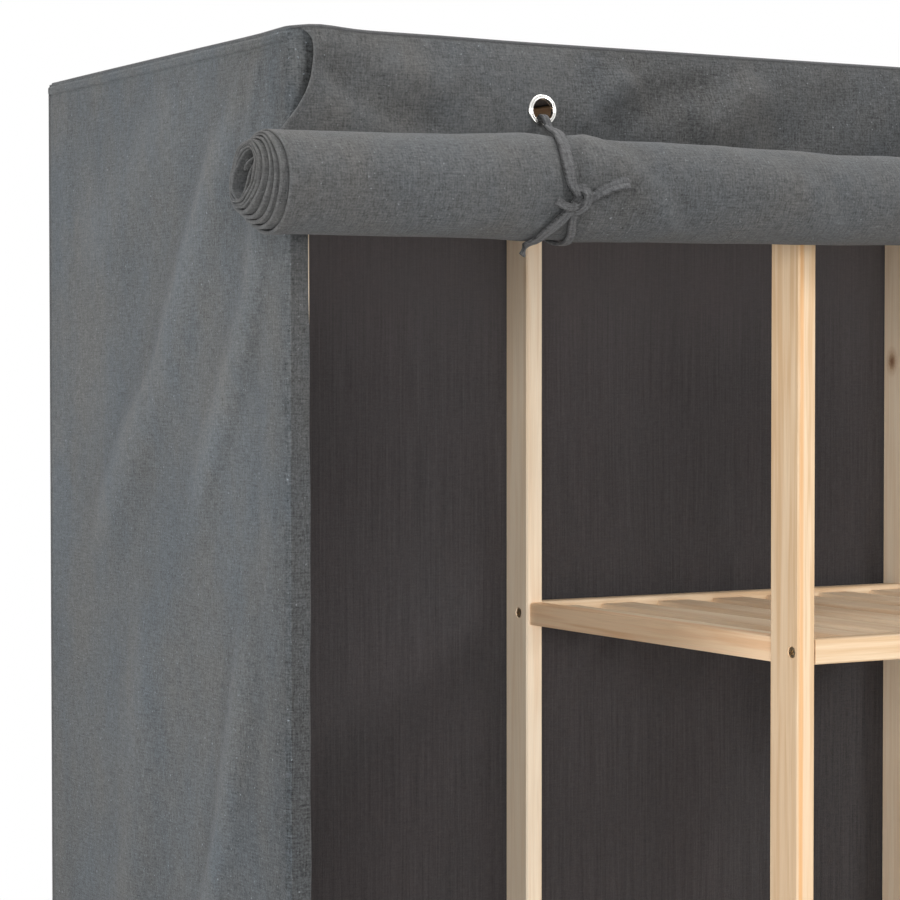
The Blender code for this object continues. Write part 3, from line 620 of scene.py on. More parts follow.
SIDE_CLOTH = woven(
    "side_cloth", (0.091, 0.104, 0.1155), (0.107, 0.1095, 0.109), fleck=1.8, light_flecks=0.8
)
# The cover's cloth, drawn darker and less blue on the flap and the roll: partly its own tone,
# partly painted shade; the side panels' front-facing strips take it as painted shade
FRONT_CLOTH = woven(
    "front_cloth", (0.0700, 0.0745, 0.0785), (0.0785, 0.0775, 0.0755),
    fleck=1.95, light_flecks=0.7,
)
BACK_CLOTH = woven(
    "back_cloth", (0.0457, 0.0405, 0.0422), (0.0431, 0.0396, 0.0413),
    fleck=0.9, streak=1.1, light_flecks=0.0, patches=0.15, shading_attribute="inner_painted_light",
)
TIE_CLOTH = woven(
    "tie_cloth", (0.072, 0.0735, 0.076), (0.084, 0.083, 0.0845),
    fleck=2.2, light_flecks=0.6, relief=0.3 * MM,
)
PIPING_CLOTH = woven(
    "piping_cloth", (0.092, 0.094, 0.098), (0.100, 0.099, 0.102), fleck=0.8, light_flecks=0.0
)
# The pine of the slats, of the side and rod rails, and of the rear and outer posts is drawn paler
# than that of the front posts and the cross rails: partly the boards' own tone, partly painted
# light that makes up for the shade inside the cover
PINE_X = pine("pine_along_x", "X", 2.0)
PINE_Y = pine("pine_along_y", "Y", 5.0, (0.96, 0.78, 0.575), (0.83, 0.59, 0.385), 24.0)
RAIL_PINE = pine("pine_of_side_rails", "Y", 7.0, (0.97, 0.70, 0.46), (0.86, 0.54, 0.31), 24.0)
STRIPED_PINE_Z = pine("striped_pine_along_z", "Z", 9.0, stripe=-0.2002)
PINE_Z = pine("pine_along_z", "Z", 9.0)
PALE_PINE_Z = pine(
    "pale_pine_along_z", "Z", 14.0, (0.96, 0.815, 0.635), (0.87, 0.69, 0.50),
    knot=(0.1879, 0.2248, 1.493),
)
NICKEL = metal("nickel", (0.80, 0.79, 0.765), 0.17)
BRONZE = metal("bronzed_steel", (0.66, 0.53, 0.36), 0.36, 0.5)
THREAD = thread("sewing_thread", (0.045, 0.046, 0.049))


# The frame's timber


def rounded_bar(builder, low, high, axis, radius, segments):
    """A box between two corners whose long edges are rounded."""
    low, high = Vector(low), Vector(high)
    place = Matrix.Translation((low + high) / 2) @ Matrix.Diagonal((*(high - low), 1.0))
    verts = bmesh.ops.create_cube(builder, size=1.0, matrix=place)["verts"]
    edges = dict.fromkeys(edge for vertex in verts for edge in vertex.link_edges)
    half = (high - low)[axis] / 2
    long_edges = [e for e in edges if abs((e.verts[0].co - e.verts[1].co)[axis]) > half]
    bmesh.ops.bevel(
        builder, geom=long_edges, offset=radius, segments=segments, affect="EDGES", profile=0.5
    )


def make_rails(node, name, middles):
    """Rails along X between the posts, one at each Y; gives their screws' places and ways."""
    low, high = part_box(node)
    reach = RAIL_THICKNESS / 2
    builder = bmesh.new()
    for y in middles:
        start = (low.x + POST_WIDTH + WOOD_GAP, y - reach, high.z - RAIL_HEIGHT)
        end = (high.x - POST_WIDTH - WOOD_GAP, y + reach, high.z)
        rounded_bar(builder, start, end, 0, RAIL_EDGE, 4)
    declare(object_from(builder, name, PINE_X, 40), "frame", node)
    ends = ((low.x + SCREW_SUNK, 1), (high.x - SCREW_SUNK, -1))
    z = high.z - RAIL_HEIGHT / 2
    return [(Vector((x, y, z)), way) for y in middles for x, way in ends]


def make_slats(node, front, rear):
    """A shelf's slats, which are let into its two rails."""
    low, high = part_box(node)
    first = low.x + POST_WIDTH + SLAT_MARGIN
    pitch = (high.x - POST_WIDTH - SLAT_MARGIN - SLAT_WIDTH - first) / (SLATS - 1)
    reach = RAIL_THICKNESS / 2 - SLAT_HOUSING
    top = high.z - SLAT_DROP
    builder = bmesh.new()
    for i in range(SLATS):
        x = first + pitch * i
        start, end = (x, front + reach, top - SLAT_THICKNESS), (x + SLAT_WIDTH, rear - reach, top)
        rounded_bar(builder, start, end, 1, SLAT_EDGE, 3)
    declare(object_from(builder, node + "_slats", PINE_Y, 40), "frame")


# (radius, height) shares of a screw head's profile, and half sizes of its cross recess
SCREW_PROFILE = ((0.0, 0.0), (0.72, 0.0), (0.96, -0.05), (1.0, -0.12), (0.45, -0.56), (0.0, -0.56))
SCREW_RECESS = (0.56, 0.13, 0.34)


def make_screws(name, places, body):
    """Countersunk heads with a cross recess, set in the posts' holes."""
    builder = bmesh.new()
    turned(builder, [(r * SCREW_HEAD, z * SCREW_HEAD) for r, z in SCREW_PROFILE], 28, False)
    head = object_from(builder, "screw_head", BRONZE)
    builder = bmesh.new()
    size = Matrix.Diagonal((*(2 * share * SCREW_HEAD for share in SCREW_RECESS), 1))
    for angle in (0, 90):
        place = Matrix.Rotation(math.radians(angle), 4, "Z") @ size
        bmesh.ops.create_cube(builder, size=1.0, matrix=place)
    cut(head, object_from(builder, "recess", BRONZE), use_self=True)

    builder = bmesh.new()
    for number, (place, way) in enumerate(places):
        moved = head.data.copy()
        turn = Matrix.Rotation(math.radians(-90 * way), 4, "Y")
        spin = Matrix.Rotation(math.radians(37 * number % 90), 4, "Z")
        moved.transform(Matrix.Translation(place) @ turn @ spin)
        builder.from_mesh(moved)
        bpy.data.meshes.remove(moved)
    bpy.data.objects.remove(head)
    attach(object_from(builder, name, BRONZE, 32), body)


def timber_look(node):
    """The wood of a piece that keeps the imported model's shape, if it is one."""
    if node.endswith(("_side_rail", "_rod_rail")):
        return RAIL_PINE
    if not node.endswith("_post"):
        return None
    # The rear posts' paler pine is partly painted light for the shade inside the cover
    if node.endswith("_rear_post") or "_outer_" in node:
        return PALE_PINE_Z
    return STRIPED_PINE_Z if node == "left_inner_front_post" else PINE_Z


def make_timber():
    screws = []
    for node in sorted(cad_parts):
        low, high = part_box(node)
        if node.endswith("_shelf"):
            middles = (low.y + RAIL_THICKNESS / 2, high.y - RAIL_THICKNESS / 2)
            screws += make_rails(node, node + "_rails", middles)
            make_slats(node, *middles)
        elif node.endswith(("_top_front_rail", "_top_rear_rail")):
            screws += make_rails(node, node + "_wood", [(low.y + high.y) / 2])
        elif node.endswith("_hanging_rod"):
            middle = (low + high) / 2
            line = [Vector((x, middle.y, middle.z)) for x in np.linspace(low.x, high.x, 25)]
            builder = bmesh.new()
            round_tube(builder, line, UP, high.z - low.z, 40)
            declare(object_from(builder, node + "_wood", PINE_X, 50), "frame", node)
    make_screws("frame_screws", screws, "frame")
    for node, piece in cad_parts.items():
        look = timber_look(node)
        if look:
            piece.data.materials.clear()
            piece.data.materials.append(look)


# The cover's fixed panels

# Folds, in mm: height, width on each side, then the points along the fold. On the side panels
# a point is (depth behind the front corner, height), and the widths are towards front and back.
LEFT_FOLDS = (
    (3.8, 17, 26, (56, 1700), (65.6, 1668), (80.5, 1647), (103.2, 1622.5), (142, 1565),
     (170, 1526), (191, 1486), (246, 1437), (294.5, 1383), (330, 1330)),
    (2.8, 16, 12, (19.3, 1700), (26.4, 1652), (35, 1605), (43.6, 1561), (50.9, 1536),
     (77.5, 1492), (103.2, 1449), (126.4, 1416), (150, 1360)),
    (3, 12, 18, (62, 1345), (70, 1289), (85, 1233), (100, 1182), (118.6, 1140), (140, 1070)),
    (2.4, 30, 36, (150, 1690), (158, 1666), (224, 1630.5), (285.5, 1592), (350, 1559)),
    (3, 30, 34, (200, 1360), (235, 1250), (250, 1120), (262, 980)),
    (1.6, 6, 6, (38, 1700), (46, 1672), (52, 1640), (58, 1600)),
    (3.2, 22, 34, (285, 1160), (260, 980), (220, 800), (170, 600)),
    (2.8, 18, 26, (100, 1040), (115, 900), (140, 740), (155, 520)),
    (3, 26, 30, (310, 800), (290, 620), (270, 400), (280, 100)),
    (3.4, 22, 30, (75, 620), (100, 440), (120, 260), (115, 30)),
    (2.6, 20, 22, (200, 500), (205, 340), (195, 180), (200, 30)),
)
RIGHT_FOLDS = (
    (3.8, 14, 28, (40, 1700), (60, 1660), (95, 1600), (130, 1530), (175, 1460), (225, 1380),
     (260, 1300)),
    (2.6, 14, 14, (20, 1700), (30, 1630), (42, 1550), (70, 1460), (95, 1380)),
    (2.6, 26, 20, (330, 1690), (310, 1620), (270, 1540), (200, 1470)),
    (3, 18, 26, (120, 1360), (110, 1220), (130, 1080), (170, 940)),
    (3, 28, 30, (290, 1300), (270, 1120), (275, 950), (250, 780)),
    (2.8, 18, 22, (75, 980), (90, 800), (120, 620), (130, 450)),
    (3.2, 22, 28, (220, 800), (200, 600), (215, 360), (210, 30)),
    (2.8, 24, 24, (320, 620), (305, 420), (300, 200), (310, 30)),
    (3, 20, 24, (100, 340), (115, 200), (110, 30)),
)
# On the back a point is (x, height)
BACK_FOLDS = (
    (5.0, 28, 50, (-520, 1660), (-420, 1200), (-380, 700), (-400, 200)),
    (5.0, 50, 28, (500, 1660), (410, 1250), (360, 800), (420, 300)),
    (4.2, 30, 50, (-100, 1640), (-40, 1380), (60, 1100), (50, 860)),
    (4.2, 40, 30, (200, 900), (140, 620), (160, 340), (120, 50)),
)


def round_back_corner(y, z, inset):
    """Moves points by the back's upper edge onto a round corner, inset below the cloth's face."""
    off_y, off_z = y - (BACK_Y - BACK_CORNER), z - (TOP_Z - BACK_CORNER)
    far, reach = np.hypot(off_y, off_z), BACK_CORNER - inset
    beyond = (off_y > 0) & (off_z > 0) & (far > reach)
    growth = np.where(beyond, reach / np.maximum(far, 1e-9), 1.0) - 1
    return y + off_y * growth, z + off_z * growth


def side_swell(depth, height, folds, seed):
    """How far a side panel stands out at each point, in metres."""
    places = np.stack([depth, height * 0.45, depth * 0], -1)
    total = FOLD_RISE * folds_at(depth, height, folds)
    total += 1.6 * MM * perlin(places, 7.0, seed) + 0.6 * MM * perlin(places, 26.0, seed + 3)
    over_post = falling(depth, POST_REACH + 12 * MM, 12 * MM)
    over_post += rising(depth, DEPTH - POST_REACH - 12 * MM, 12 * MM)
    total = np.maximum(total - 0.6 * MM, LEAST_SAG * (1 - np.clip(over_post, 0, 1)))
    below = PANEL_TOP - height
    total *= rising(depth, 0, 18 * MM) * falling(depth, DEPTH, 22 * MM)
    total *= 0.12 + 0.88 * rising(below, 0, 26 * MM)
    band = 1.1 * MM * falling(below, SEAM_BAND + 0.8 * MM, 0.8 * MM) * rising(below, 0, 1.2 * MM)
    return total + band - 0.55 * MM * hill(below, SEAM_BAND + 1.2 * MM, 0.9 * MM)


def strip_edge(height):
    """|x| of the cloth's edge at the opening: it stands back where the post's edge shows."""
    back = 1.5 * MM * rising(height, 1.500, 0.06) * falling(height, 1.60, 0.02)
    wave = 0.25 * MM * np.sin(height * 31.0) + 0.2 * MM * np.sin(height * 83.0 + 1.0)
    behind_flap = 9 * MM * rising(height, 1.625, 0.015)
    return HALF_WIDTH - FRONT_STRIP + back + wave - behind_flap


def seam_rise(x):
    """How far the seam at the front stands up where the flap's corners pull on it."""
    out = np.abs(x)
    low = 0.6 * MM * rising(out, 0.40, 0.10) * falling(out, 0.6, 0.02)
    return 2.0 * MM * hill(out, 0.578, 0.020) + low


def finish_panel(panel, node, inner_look):
    """Thickens a fixed panel of the cover, and says what it is."""
    thicken(panel, material_offset=inner_look)
    declare(panel, "frame", node)


def side_grid(side):
    """(x, y, height) of a flat side panel, with x to the outside, and X where its corner starts."""
    front, out = FRONT_Y + CLOTH / 2, HALF_WIDTH - CLOTH / 2
    corner, first = out - PANEL_CORNER, front + PANEL_CORNER
    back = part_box(f"cover_{side}_panel")[1].y - CLOTH / 2
    heights = np.concatenate([
        np.linspace(HEM_Z, PANEL_TOP - 9 * MM, 223), np.linspace(PANEL_TOP - 8.6 * MM, SEAM_Z, 28)
    ])[:, None]
    edge = strip_edge(heights)
    strip = edge + (corner - edge) * np.linspace(0, 1, 8)[:-1]
    bend = np.radians(np.linspace(0, 90, 7))
    along = np.linspace(first, back, 87)[1:]
    beyond = np.concatenate([corner + PANEL_CORNER * np.sin(bend), np.full(along.shape, out)])
    x = np.hstack([strip, np.tile(beyond, (len(heights), 1))])
    y = np.concatenate([np.full(7, front), front + PANEL_CORNER * (1 - np.cos(bend)), along])
    return x, np.tile(y, (len(heights), 1)), np.tile(heights, x.shape[1]), corner


def make_side_panel(side, folds, seed):
    """A side of the cover with its strip round the front corner; gives its lines of stitches."""
    sign = -1 if side == "left" else 1
    x, y, height, corner = side_grid(side)
    depth = np.maximum(y - FRONT_Y, 0)
    swell = side_swell(depth, height, folds, seed)
    facing = np.clip((x - corner) / PANEL_CORNER, 0, 1)
    # Painted light and shade on the side: lighter folds and darker hollows, a painted shadow on the
    # strip and the corner beside the flap, the side painted darker next to the front corner, and
    # darker towards the bottom and towards the front
    wear_and_shading = fold_painted_shading(swell, 4, 0.10)
    shaded = rising(height, 1.636, 0.02) * falling(height, 1.699, 0.008)
    wear_and_shading -= 0.50 * shaded * falling(x, HALF_WIDTH - 1 * MM, 17 * MM)
    wear_and_shading -= 0.14 * shaded * falling(depth, 26 * MM, 26 * MM) * facing
    wear_and_shading -= 0.10 * falling(height, 1.64, 0.2) * falling(depth, 0.16, 0.15)
    wear_and_shading -= 0.17 * falling(height, 1.44, 0.27)
    wear_and_shading -= 0.13 * facing * falling(depth, 32 * MM, 30 * MM) * falling(height, 1.62, 0.05)
    wear_and_shading -= 0.13 * facing * rising(height, 1.60, 0.06) * falling(depth, 0.13, 0.11)

    # The corner bulges beside the flap, and its upper end follows the seam
    beside_flap = rising(height, 1.640, 0.018) * falling(height, 1.694, 0.020)
    bulge = CORNER_BULGE * beside_flap * falling(depth, 14 * MM, 14 * MM)
    lip = 0.25 * MM * hill(x, HALF_WIDTH - STITCH_LINE, 1.3 * MM)
    y = y + lip * (1 - facing) - bulge * rising(x, HALF_WIDTH - 15 * MM, 12 * MM)
    x = x + 0.35 * bulge * facing
    z = height + 1.2 * MM * hill(height, HEM_Z, 0.03) * np.sin(depth * 55 + seed)
    at_top = rising(height, PANEL_TOP - 0.03, 0.03)
    z = z + at_top * seam_rise(x) * falling(depth, SEAM_REACH, SEAM_REACH)
    y, z = round_back_corner(y, z, CLOTH / 2)
    points = np.stack([sign * (x + swell * facing), y, z], -1)
    run = run_along(points[len(points) // 2])
    uv = np.stack(np.broadcast_arrays(run, height), -1)
    if sign < 0:
        points, uv, wear_and_shading = points[:, ::-1], uv[:, ::-1], wear_and_shading[:, ::-1]
    looks = [SIDE_CLOTH, FRONT_CLOTH, BACK_CLOTH, BACK_CLOTH]
    panel = surface(f"cover_{side}_cloth", points, uv, looks, wear_and_shading)
    # The front-facing strip below the flap takes the darker front cloth: painted shade chosen by
    # the way the faces face
    for polygon in panel.data.polygons:
        out, _, up = polygon.center
        if polygon.normal.y < -0.8 and abs(out) < HALF_WIDTH - 2.5 * MM and up < 1.62:
            polygon.material_index = 1
    finish_panel(panel, f"cover_{side}_panel", 2)

    seam_x = sign * (HALF_WIDTH - STITCH_LINE)
    seam = [
        (Vector((seam_x, FRONT_Y - THREAD_LIFT, z)), Vector((0, -1, 0)))
        for z in np.arange(HEM_Z + 4 * MM, 1.69, STITCH_STEP)
    ]
    level = HEM_Z + HEM_STITCH
    depths = np.arange(0.006, DEPTH - 0.006, STITCH_STEP)
    hem_x = HALF_WIDTH + THREAD_LIFT + side_swell(depths, depths * 0 + level, folds, seed)
    hem = [
        (Vector((sign * x, FRONT_Y + depth, level)), Vector((sign, 0, 0)))
        for x, depth in zip(hem_x, depths)
    ]
    return [seam, hem]


def make_back_panel():
    heights = (
        np.linspace(HEM_Z, PANEL_TOP - 6 * MM, 144), np.linspace(PANEL_TOP - 5 * MM, SEAM_Z, 7)
    )
    across = np.linspace(-HALF_WIDTH + CLOTH, HALF_WIDTH - CLOTH, 151)
    x, height = np.meshgrid(across, np.concatenate(heights))
    places = np.stack([x, height * 0.4, x * 0], -1)
    swell = 3.2 * MM * perlin(places, 5.0, 21.0) + 0.9 * MM * perlin(places, 21.0, 5.0)
    swell = np.maximum(swell + folds_at(x, height, BACK_FOLDS), 0)
    swell *= falling(np.abs(x), HALF_WIDTH, 0.04) * falling(height, PANEL_TOP, 0.04)
    y, z = round_back_corner(BACK_Y - CLOTH / 2 + swell, height, CLOTH / 2)
    # Painted fold shading on the outer face: lighter folds, darker hollows
    wear_and_shading = fold_painted_shading(swell, 3, 0.08)
    # Inside, the cloth is painted lighter where the roll and the roof keep the lamps' light away,
    # carries the painted fold shading too, and is painted darker on the right, most of all low down
    inner_painted_light = 0.34 * rising(height, 1.22, 0.36) + 0.6 * wear_and_shading
    inner_painted_light += 0.95 * np.clip((height - 1.475) / 0.125, 0, 1)
    inner_painted_light -= rising(x, 0, 0.10) * (0.08 + 0.18 * falling(height, 1.29, 0.05))
    points, uv = np.stack([x, y, z], -1), np.stack([x, height], -1)
    panel = surface("cover_back_cloth", points, uv, [BACK_CLOTH, SIDE_CLOTH], wear_and_shading)
    set_painted_shading(panel.data, inner_painted_light, "inner_painted_light")
    finish_panel(panel, "cover_back_panel", 1)


def make_roof():
    right, front, back = HALF_WIDTH - 1.2 * MM, FLAP_Y + 0.6 * MM, BACK_Y - 1.0 * MM
    depths = np.concatenate([
        [front, front + 3 * MM, front + 7 * MM],
        np.linspace(front + 12 * MM, back - 7 * MM, 54), np.linspace(back - 5.5 * MM, back, 5),
    ])
    x, depth = np.meshgrid(np.linspace(-right, right, 161), depths)
    out = np.abs(x)
    loose = rising(depth, front, 0.05) * falling(depth, back, 0.05) * falling(out, right, 0.05)
    posts = np.clip(hill(out, 0.195, 0.03) + hill(out, 0.60, 0.04), 0, 1)
    places = np.stack([x, depth, x * 0], -1)
    sag = (2.6 * MM * (1 - posts) + 0.8 * MM * perlin(places, 6.0, 8.0)) * loose
    ripple = 0.7 * MM * np.maximum(0, perlin(places, 22.0, 2.0)) * loose
    rise = seam_rise(x) * falling(depth, front + SEAM_REACH, SEAM_REACH)
    z = POST_TOP + ROOF_LIFT + CLOTH / 2 + rise - np.maximum(sag, 0) + ripple
    y, z = round_back_corner(depth, z, 0.4 * MM + CLOTH / 2)
    points, uv = np.stack([x, y, z], -1), np.stack([x, depth], -1)
    roof = surface("cover_roof_cloth", points, uv, [SIDE_CLOTH, BACK_CLOTH])
    finish_panel(roof, "cover_top_panel", 1)


def add_tape_uv(made):
    """UVs in metres from the position, enough for threads on a narrow tape."""
    places = np.array([vertex.co for vertex in made.data.vertices])
    corners = [loop.vertex_index for loop in made.data.loops]
    set_uv(made.data, places @ ((1, 0), (0.4, -0.5), (0, 1)), corners)


def make_piping():
    """The piped seam round the roof, and the two seams down the back corners."""
    front, r = FLAP_Y, PIPING_CORNER
    right, near, far = HALF_WIDTH - PIPING_LOOK - r, front + r, BACK_Y - PIPING_LOOK - r
    centres = np.array([(right, near), (right, far), (-right, far), (-right, near)])
    places = []
    for i, steps in enumerate((60, 110, 60, 150)):
        angles = np.radians(90 * i - 90 + 15 * np.arange(7))
        bend = centres[i] + r * np.stack([np.cos(angles), np.sin(angles)], -1)
        shares = np.arange(1, steps)[:, None] / steps
        places += [*bend, *(bend[-1] + (centres[(i + 1) % 4] - centres[i]) * shares)]
    points = []
    for x, y in places:
        rise = seam_rise(x) * falling(y, front + SEAM_REACH, SEAM_REACH)
        z = TOP_Z - PIPING_LOOK + rise + 0.3 * MM * noise.noise(Vector((x * 14, y * 14, 3.0)))
        points.append(Vector((x, *round_back_corner(y, z, PIPING_LOOK))))
    builder = bmesh.new()
    round_tube(builder, points, UP, 2 * PIPING_LOOK, 10, closed=True)
    heights = np.linspace(HEM_Z, TOP_Z - BACK_CORNER, 121)
    for x in (0.6 * MM - HALF_WIDTH, HALF_WIDTH - 0.6 * MM):
        line = [Vector((x, BACK_Y - 0.6 * MM, z)) for z in heights]
        round_tube(builder, line, Vector((0, 1, 0)), BACK_SEAM, 8)
    piping = object_from(builder, "cover_piping_cord", PIPING_CLOTH, 60)
    add_tape_uv(piping)
    declare(piping, "frame", "cover_piping")


# The rolled-up front

# (x, how far the roll's upper or lower side stands out there), in mm
ROLL_TOP = (
    (-640, -1.4), (-617, -1.1), (-560, -0.6), (-505, 0), (-460, 2.6), (-434, 3), (-410, 2.3),
    (-378, 1.4), (-330, 0.9), (-285, 0), (-235, 0), (-200, -1.5), (-140, -1), (-60, 0.3),
    (0, 1.6), (60, 0.6), (150, -0.8), (250, -0.4), (330, 0.6), (380, 1.8), (424, 2.8),
    (470, 1.8), (520, 0.3), (600, -1.9), (640, -3),
)
ROLL_BOTTOM = (
    (-640, -0.2), (-603, 0), (-505, 0.1), (-435, 0.2), (-320, -0.5), (-255, -1.4), (-140, -2.7),
    (0, -3), (130, -2.4), (250, -1.4), (340, -0.4), (430, 0.2), (520, 0.6), (640, 0.9),
)
# Creases of the roll: height and widths in mm, then points of (x in mm, degrees above the front)
ROLL_CREASES = (
    (3.3, 6.5, 16, (-424, 95), (-410.8, 84), (-397.6, 47), (-376.7, 21), (-362.3, -6),
     (-347.8, -36), (-335, -70)),
    (2.9, 10, 20, (-315, 80), (-295.8, 50), (-267.7, 25), (-240.5, 4), (-218.3, -30), (-200, -62)),
    (0.9, 10, 14, (-360, 90), (-345, 62), (-325, 38), (-305, 10), (-290, -20)),
    (1.1, 12, 10, (-446, 10), (-470, -12), (-500, -40), (-530, -70)),
    (0.8, 10, 10, (-455, 60), (-475, 35), (-500, 20)),
    (1.3, 12, 20, (-180, 85), (-150, 50), (-120, 15), (-100, -30)),
    (2, 8, 16, (15, 85), (35, 45), (60, 10), (80, -35), (90, -65)),
    (1.4, 10, 14, (-20, 80), (-45, 40), (-60, 0), (-85, -50)),
    (1.2, 12, 18, (140, 80), (170, 45), (190, 10), (220, -40)),
    (1.9, 14, 8, (400, 85), (385, 45), (365, 10), (345, -35), (330, -65)),
    (1.5, 8, 15, (450, 75), (475, 40), (500, 0), (520, -45)),
    (1, 12, 12, (300, 80), (275, 45), (255, 10), (240, -30)),
)
# Folds of the flap, in mm, with points of (x, height)
FLAP_FOLDS = (
    (4.5, 12, 16, (-395, 1640), (-375, 1662), (-345, 1692)),
    (-3, 12, 12, (-405, 1645), (-362, 1655), (-300, 1678), (-262, 1695)),
    (4, 16, 20, (-300, 1640), (-270, 1662), (-235, 1694)),
    (-2.4, 18, 18, (-250, 1636), (-205, 1655), (-160, 1690)),
    (-4.2, 18, 12, (-588, 1690), (-560, 1668), (-520, 1650), (-470, 1642)),
    (2.2, 18, 18, (-540, 1694), (-515, 1676), (-475, 1664)),
    (3.2, 20, 16, (-120, 1690), (-70, 1665), (-20, 1648)),
    (3.6, 16, 20, (30, 1644), (75, 1665), (120, 1692)),
    (-3, 20, 20, (160, 1690), (200, 1664), (240, 1640)),
    (3.4, 16, 18, (300, 1692), (340, 1668), (390, 1648)),
    (3.4, 18, 16, (455, 1645), (490, 1665), (535, 1690)),
    (-3.8, 14, 16, (588, 1688), (555, 1668), (510, 1650)),
)
# (turn, how far out it ends in mm)
TURN_ENDS = (
    (0, 630), (0.5, 630.5), (1.5, 635.7), (2.5, 639.3), (3.5, 640.8), (4.5, 645), (5.5, 647),
    (6.5, 645.2), (7.5, 647.4), (8.5, 645.1), (9.5, 647.6), (10.6, 645.8), (11.2, 646.2),
    (12, 644),
)
# (height, |x| of the flap's side edges), in mm
FLAP_EDGES = (
    (1602, 630), (1620, 619.5), (1632, 610), (1640, 604), (1649, 596.8), (1660, 590.3),
    (1670, 586.2), (1680, 583.7), (1687, 583.2), (1692, 584.3), (1695.5, 587), (1698.7, 592),
)


def roll_swell(x, degrees):
    """How far the roll's outer turn stands out, by place along it and degrees above its front."""
    angle = np.radians(degrees)
    up, ahead = np.sin(angle), np.cos(angle)
    total = MM * between(x, ROLL_TOP, scale=MM) * np.clip(up, 0, 1) ** 1.6
    total += MM * between(x, ROLL_BOTTOM, scale=MM) * np.clip(-up, 0, 1) ** 2
    total += folds_at(x, angle * ROLL_RADIUS, ROLL_CREASES, (MM, math.radians(ROLL_RADIUS)))
    for tie in TIE_X.values():
        total -= 2.4 * MM * hill(x, tie - 8 * MM, 9 * MM) * (0.35 + 0.65 * np.clip(ahead, 0, 1))
        total += 0.7 * MM * (hill(x, tie - 30 * MM, 12 * MM) + hill(x, tie + 14 * MM, 12 * MM))
    places = np.stack([x * 0.7, ahead * 0.05, up * 0.05], -1)
    return total + 0.7 * MM * perlin(places, 16.0, 12.0) + 0.3 * MM * perlin(places, 50.0, 4.0)


def roll_end(turn, sign):
    """How far out along X each turn ends; the sign is its side."""
    around = 2 * np.pi * turn
    ragged = 0.5 * np.sin(0.37 * around + sign) + 0.4 * np.sin(1.13 * around + 2 * sign)
    ragged = ragged + 0.25 * np.sin(3.3 * around + sign)
    growth = 2.5 * MM * (sign > 0) * smoothstep(turn / 4)
    tilt = END_TILT * rising(turn, 1.0, 4.0) * np.sin(around)
    return MM * between(turn, TURN_ENDS) + tilt + growth + 1.1 * MM * ragged * smoothstep(turn)


def roll_shape(x_share, turn):
    """The rolled part: turn 0 is at its back, 0.25 below, 0.5 in front and 0.75 on top."""
    x = x_share * roll_end(turn, np.where(x_share < 0, -1, 1))
    around = 2 * np.pi * turn
    core = rising(turn, 3.5, 2.5)
    lobes = 0.040 * np.sin(3 * around + 1.2 + x * 4) + 0.030 * np.sin(2 * around + 2.1 - x * 3)
    lobes = 1 + core * (lobes + 0.018 * np.sin(7 * around + 0.5 + x * 9))
    tall, deep = (MM * between(turn, TURN_SIZES, column) * lobes for column in (1, 2))
    blend_in = smoothstep(turn / 0.12)
    outer = np.clip(1.35 - turn, 0, 1)
    share = outer + (1 - outer) * 0.8 * np.clip(1.0 - turn / 6.0, 0.15, 1.0)
    swell = roll_swell(x, np.degrees(around) % 360 - 180) * share * blend_in
    wave = np.sin(5 * around + turn * 0.9 + x * 7) * smoothstep(turn / 1.5) * (1 - core)
    swell = swell + 0.35 * MM * wave
    crumple = 2.6 * MM * rising(turn, 11.05, 0.25)
    off_y = (deep + swell) * np.cos(around) + crumple * np.sin(2.6 * around + 17 * x)
    off_z = 0.5 * crumple * np.sin(3.7 * around + 11 * x) - (tall + swell) * np.sin(around)
    lean = CORE_LEAN * rising(turn, 10.8, 0.6)
    y = ROLL_Y + off_y * np.cos(lean) - off_z * np.sin(lean)
    z = ROLL_Z + off_y * np.sin(lean) + off_z * np.cos(lean)
    lift = CORE_LIFT * np.clip(turn / LOOSE_TURNS, 0, 1)
    return np.stack([x, y, z + lift - END_SAG * rising(np.abs(x), 0.52, 0.10) * blend_in], -1)


def flap_row(down):
    """Height, and |x| of the flap's edge, where down is 0 at the seam and 1 at the roll's back."""
    z = FLAP_TOP + (ROLL_Z - SEAM_Z) * down
    return z, MM * between(z, FLAP_EDGES, scale=MM)


def flap_shape(x_share, down):
    """The hanging flap; x_share goes from -1 to 1 across it."""
    z, edge = flap_row(down)
    x = x_share * edge
    out = np.abs(x)
    arch = np.sin(np.pi * np.clip(down / 0.92, 0, 1)) ** 0.8
    swell = EYELET_BULGE - 1.5 * MM * rising(out, 0.50, 0.10)
    swell = swell * (0.72 + 0.28 * hill(out, 0.424, 0.10) + 0.2 * hill(x, 0.0, 0.08)) * arch
    folds = FLAP_FOLD_RISE * folds_at(x, z, FLAP_FOLDS)
    swell = swell + folds * rising(down, 0, 0.25) * falling(down, 0.9, 0.35)
    swell = swell + 0.9 * MM * perlin(np.stack([x, z, x * 0], -1), 22.0, 31.0) * arch
    rise = seam_rise(x) * falling(down, 0.3, 0.3)
    return np.stack([x, FLAP_Y - np.maximum(swell, 0), z + rise], -1)


def front_painted_shading(share, turn, flap):
    """Painted highlight on the folds and painted shade in the hollows of the flap and of the roll's
    outer turn; the roll's top is painted lighter and its underside darker, and the flap is drawn
    lighter left of the left eyelet and darker right of it.
    """
    flap_shading = fold_painted_shading(-flap[..., 1], 2, 0.10) + 0.08 - 0.30 * rising(flap[..., 0], -0.42, 0.06)
    turn = turn[:, None]
    x, degrees = np.broadcast_arrays(share * END_HALF, np.degrees(2 * np.pi * turn) % 360 - 180)
    roll_shading = fold_painted_shading(roll_swell(x, degrees), 2, 0.16)
    roll_shading += 0.10 * np.sin(np.radians(degrees)) * np.clip(turn / 0.1, 0, 1)
    return np.concatenate([flap_shading, roll_shading])


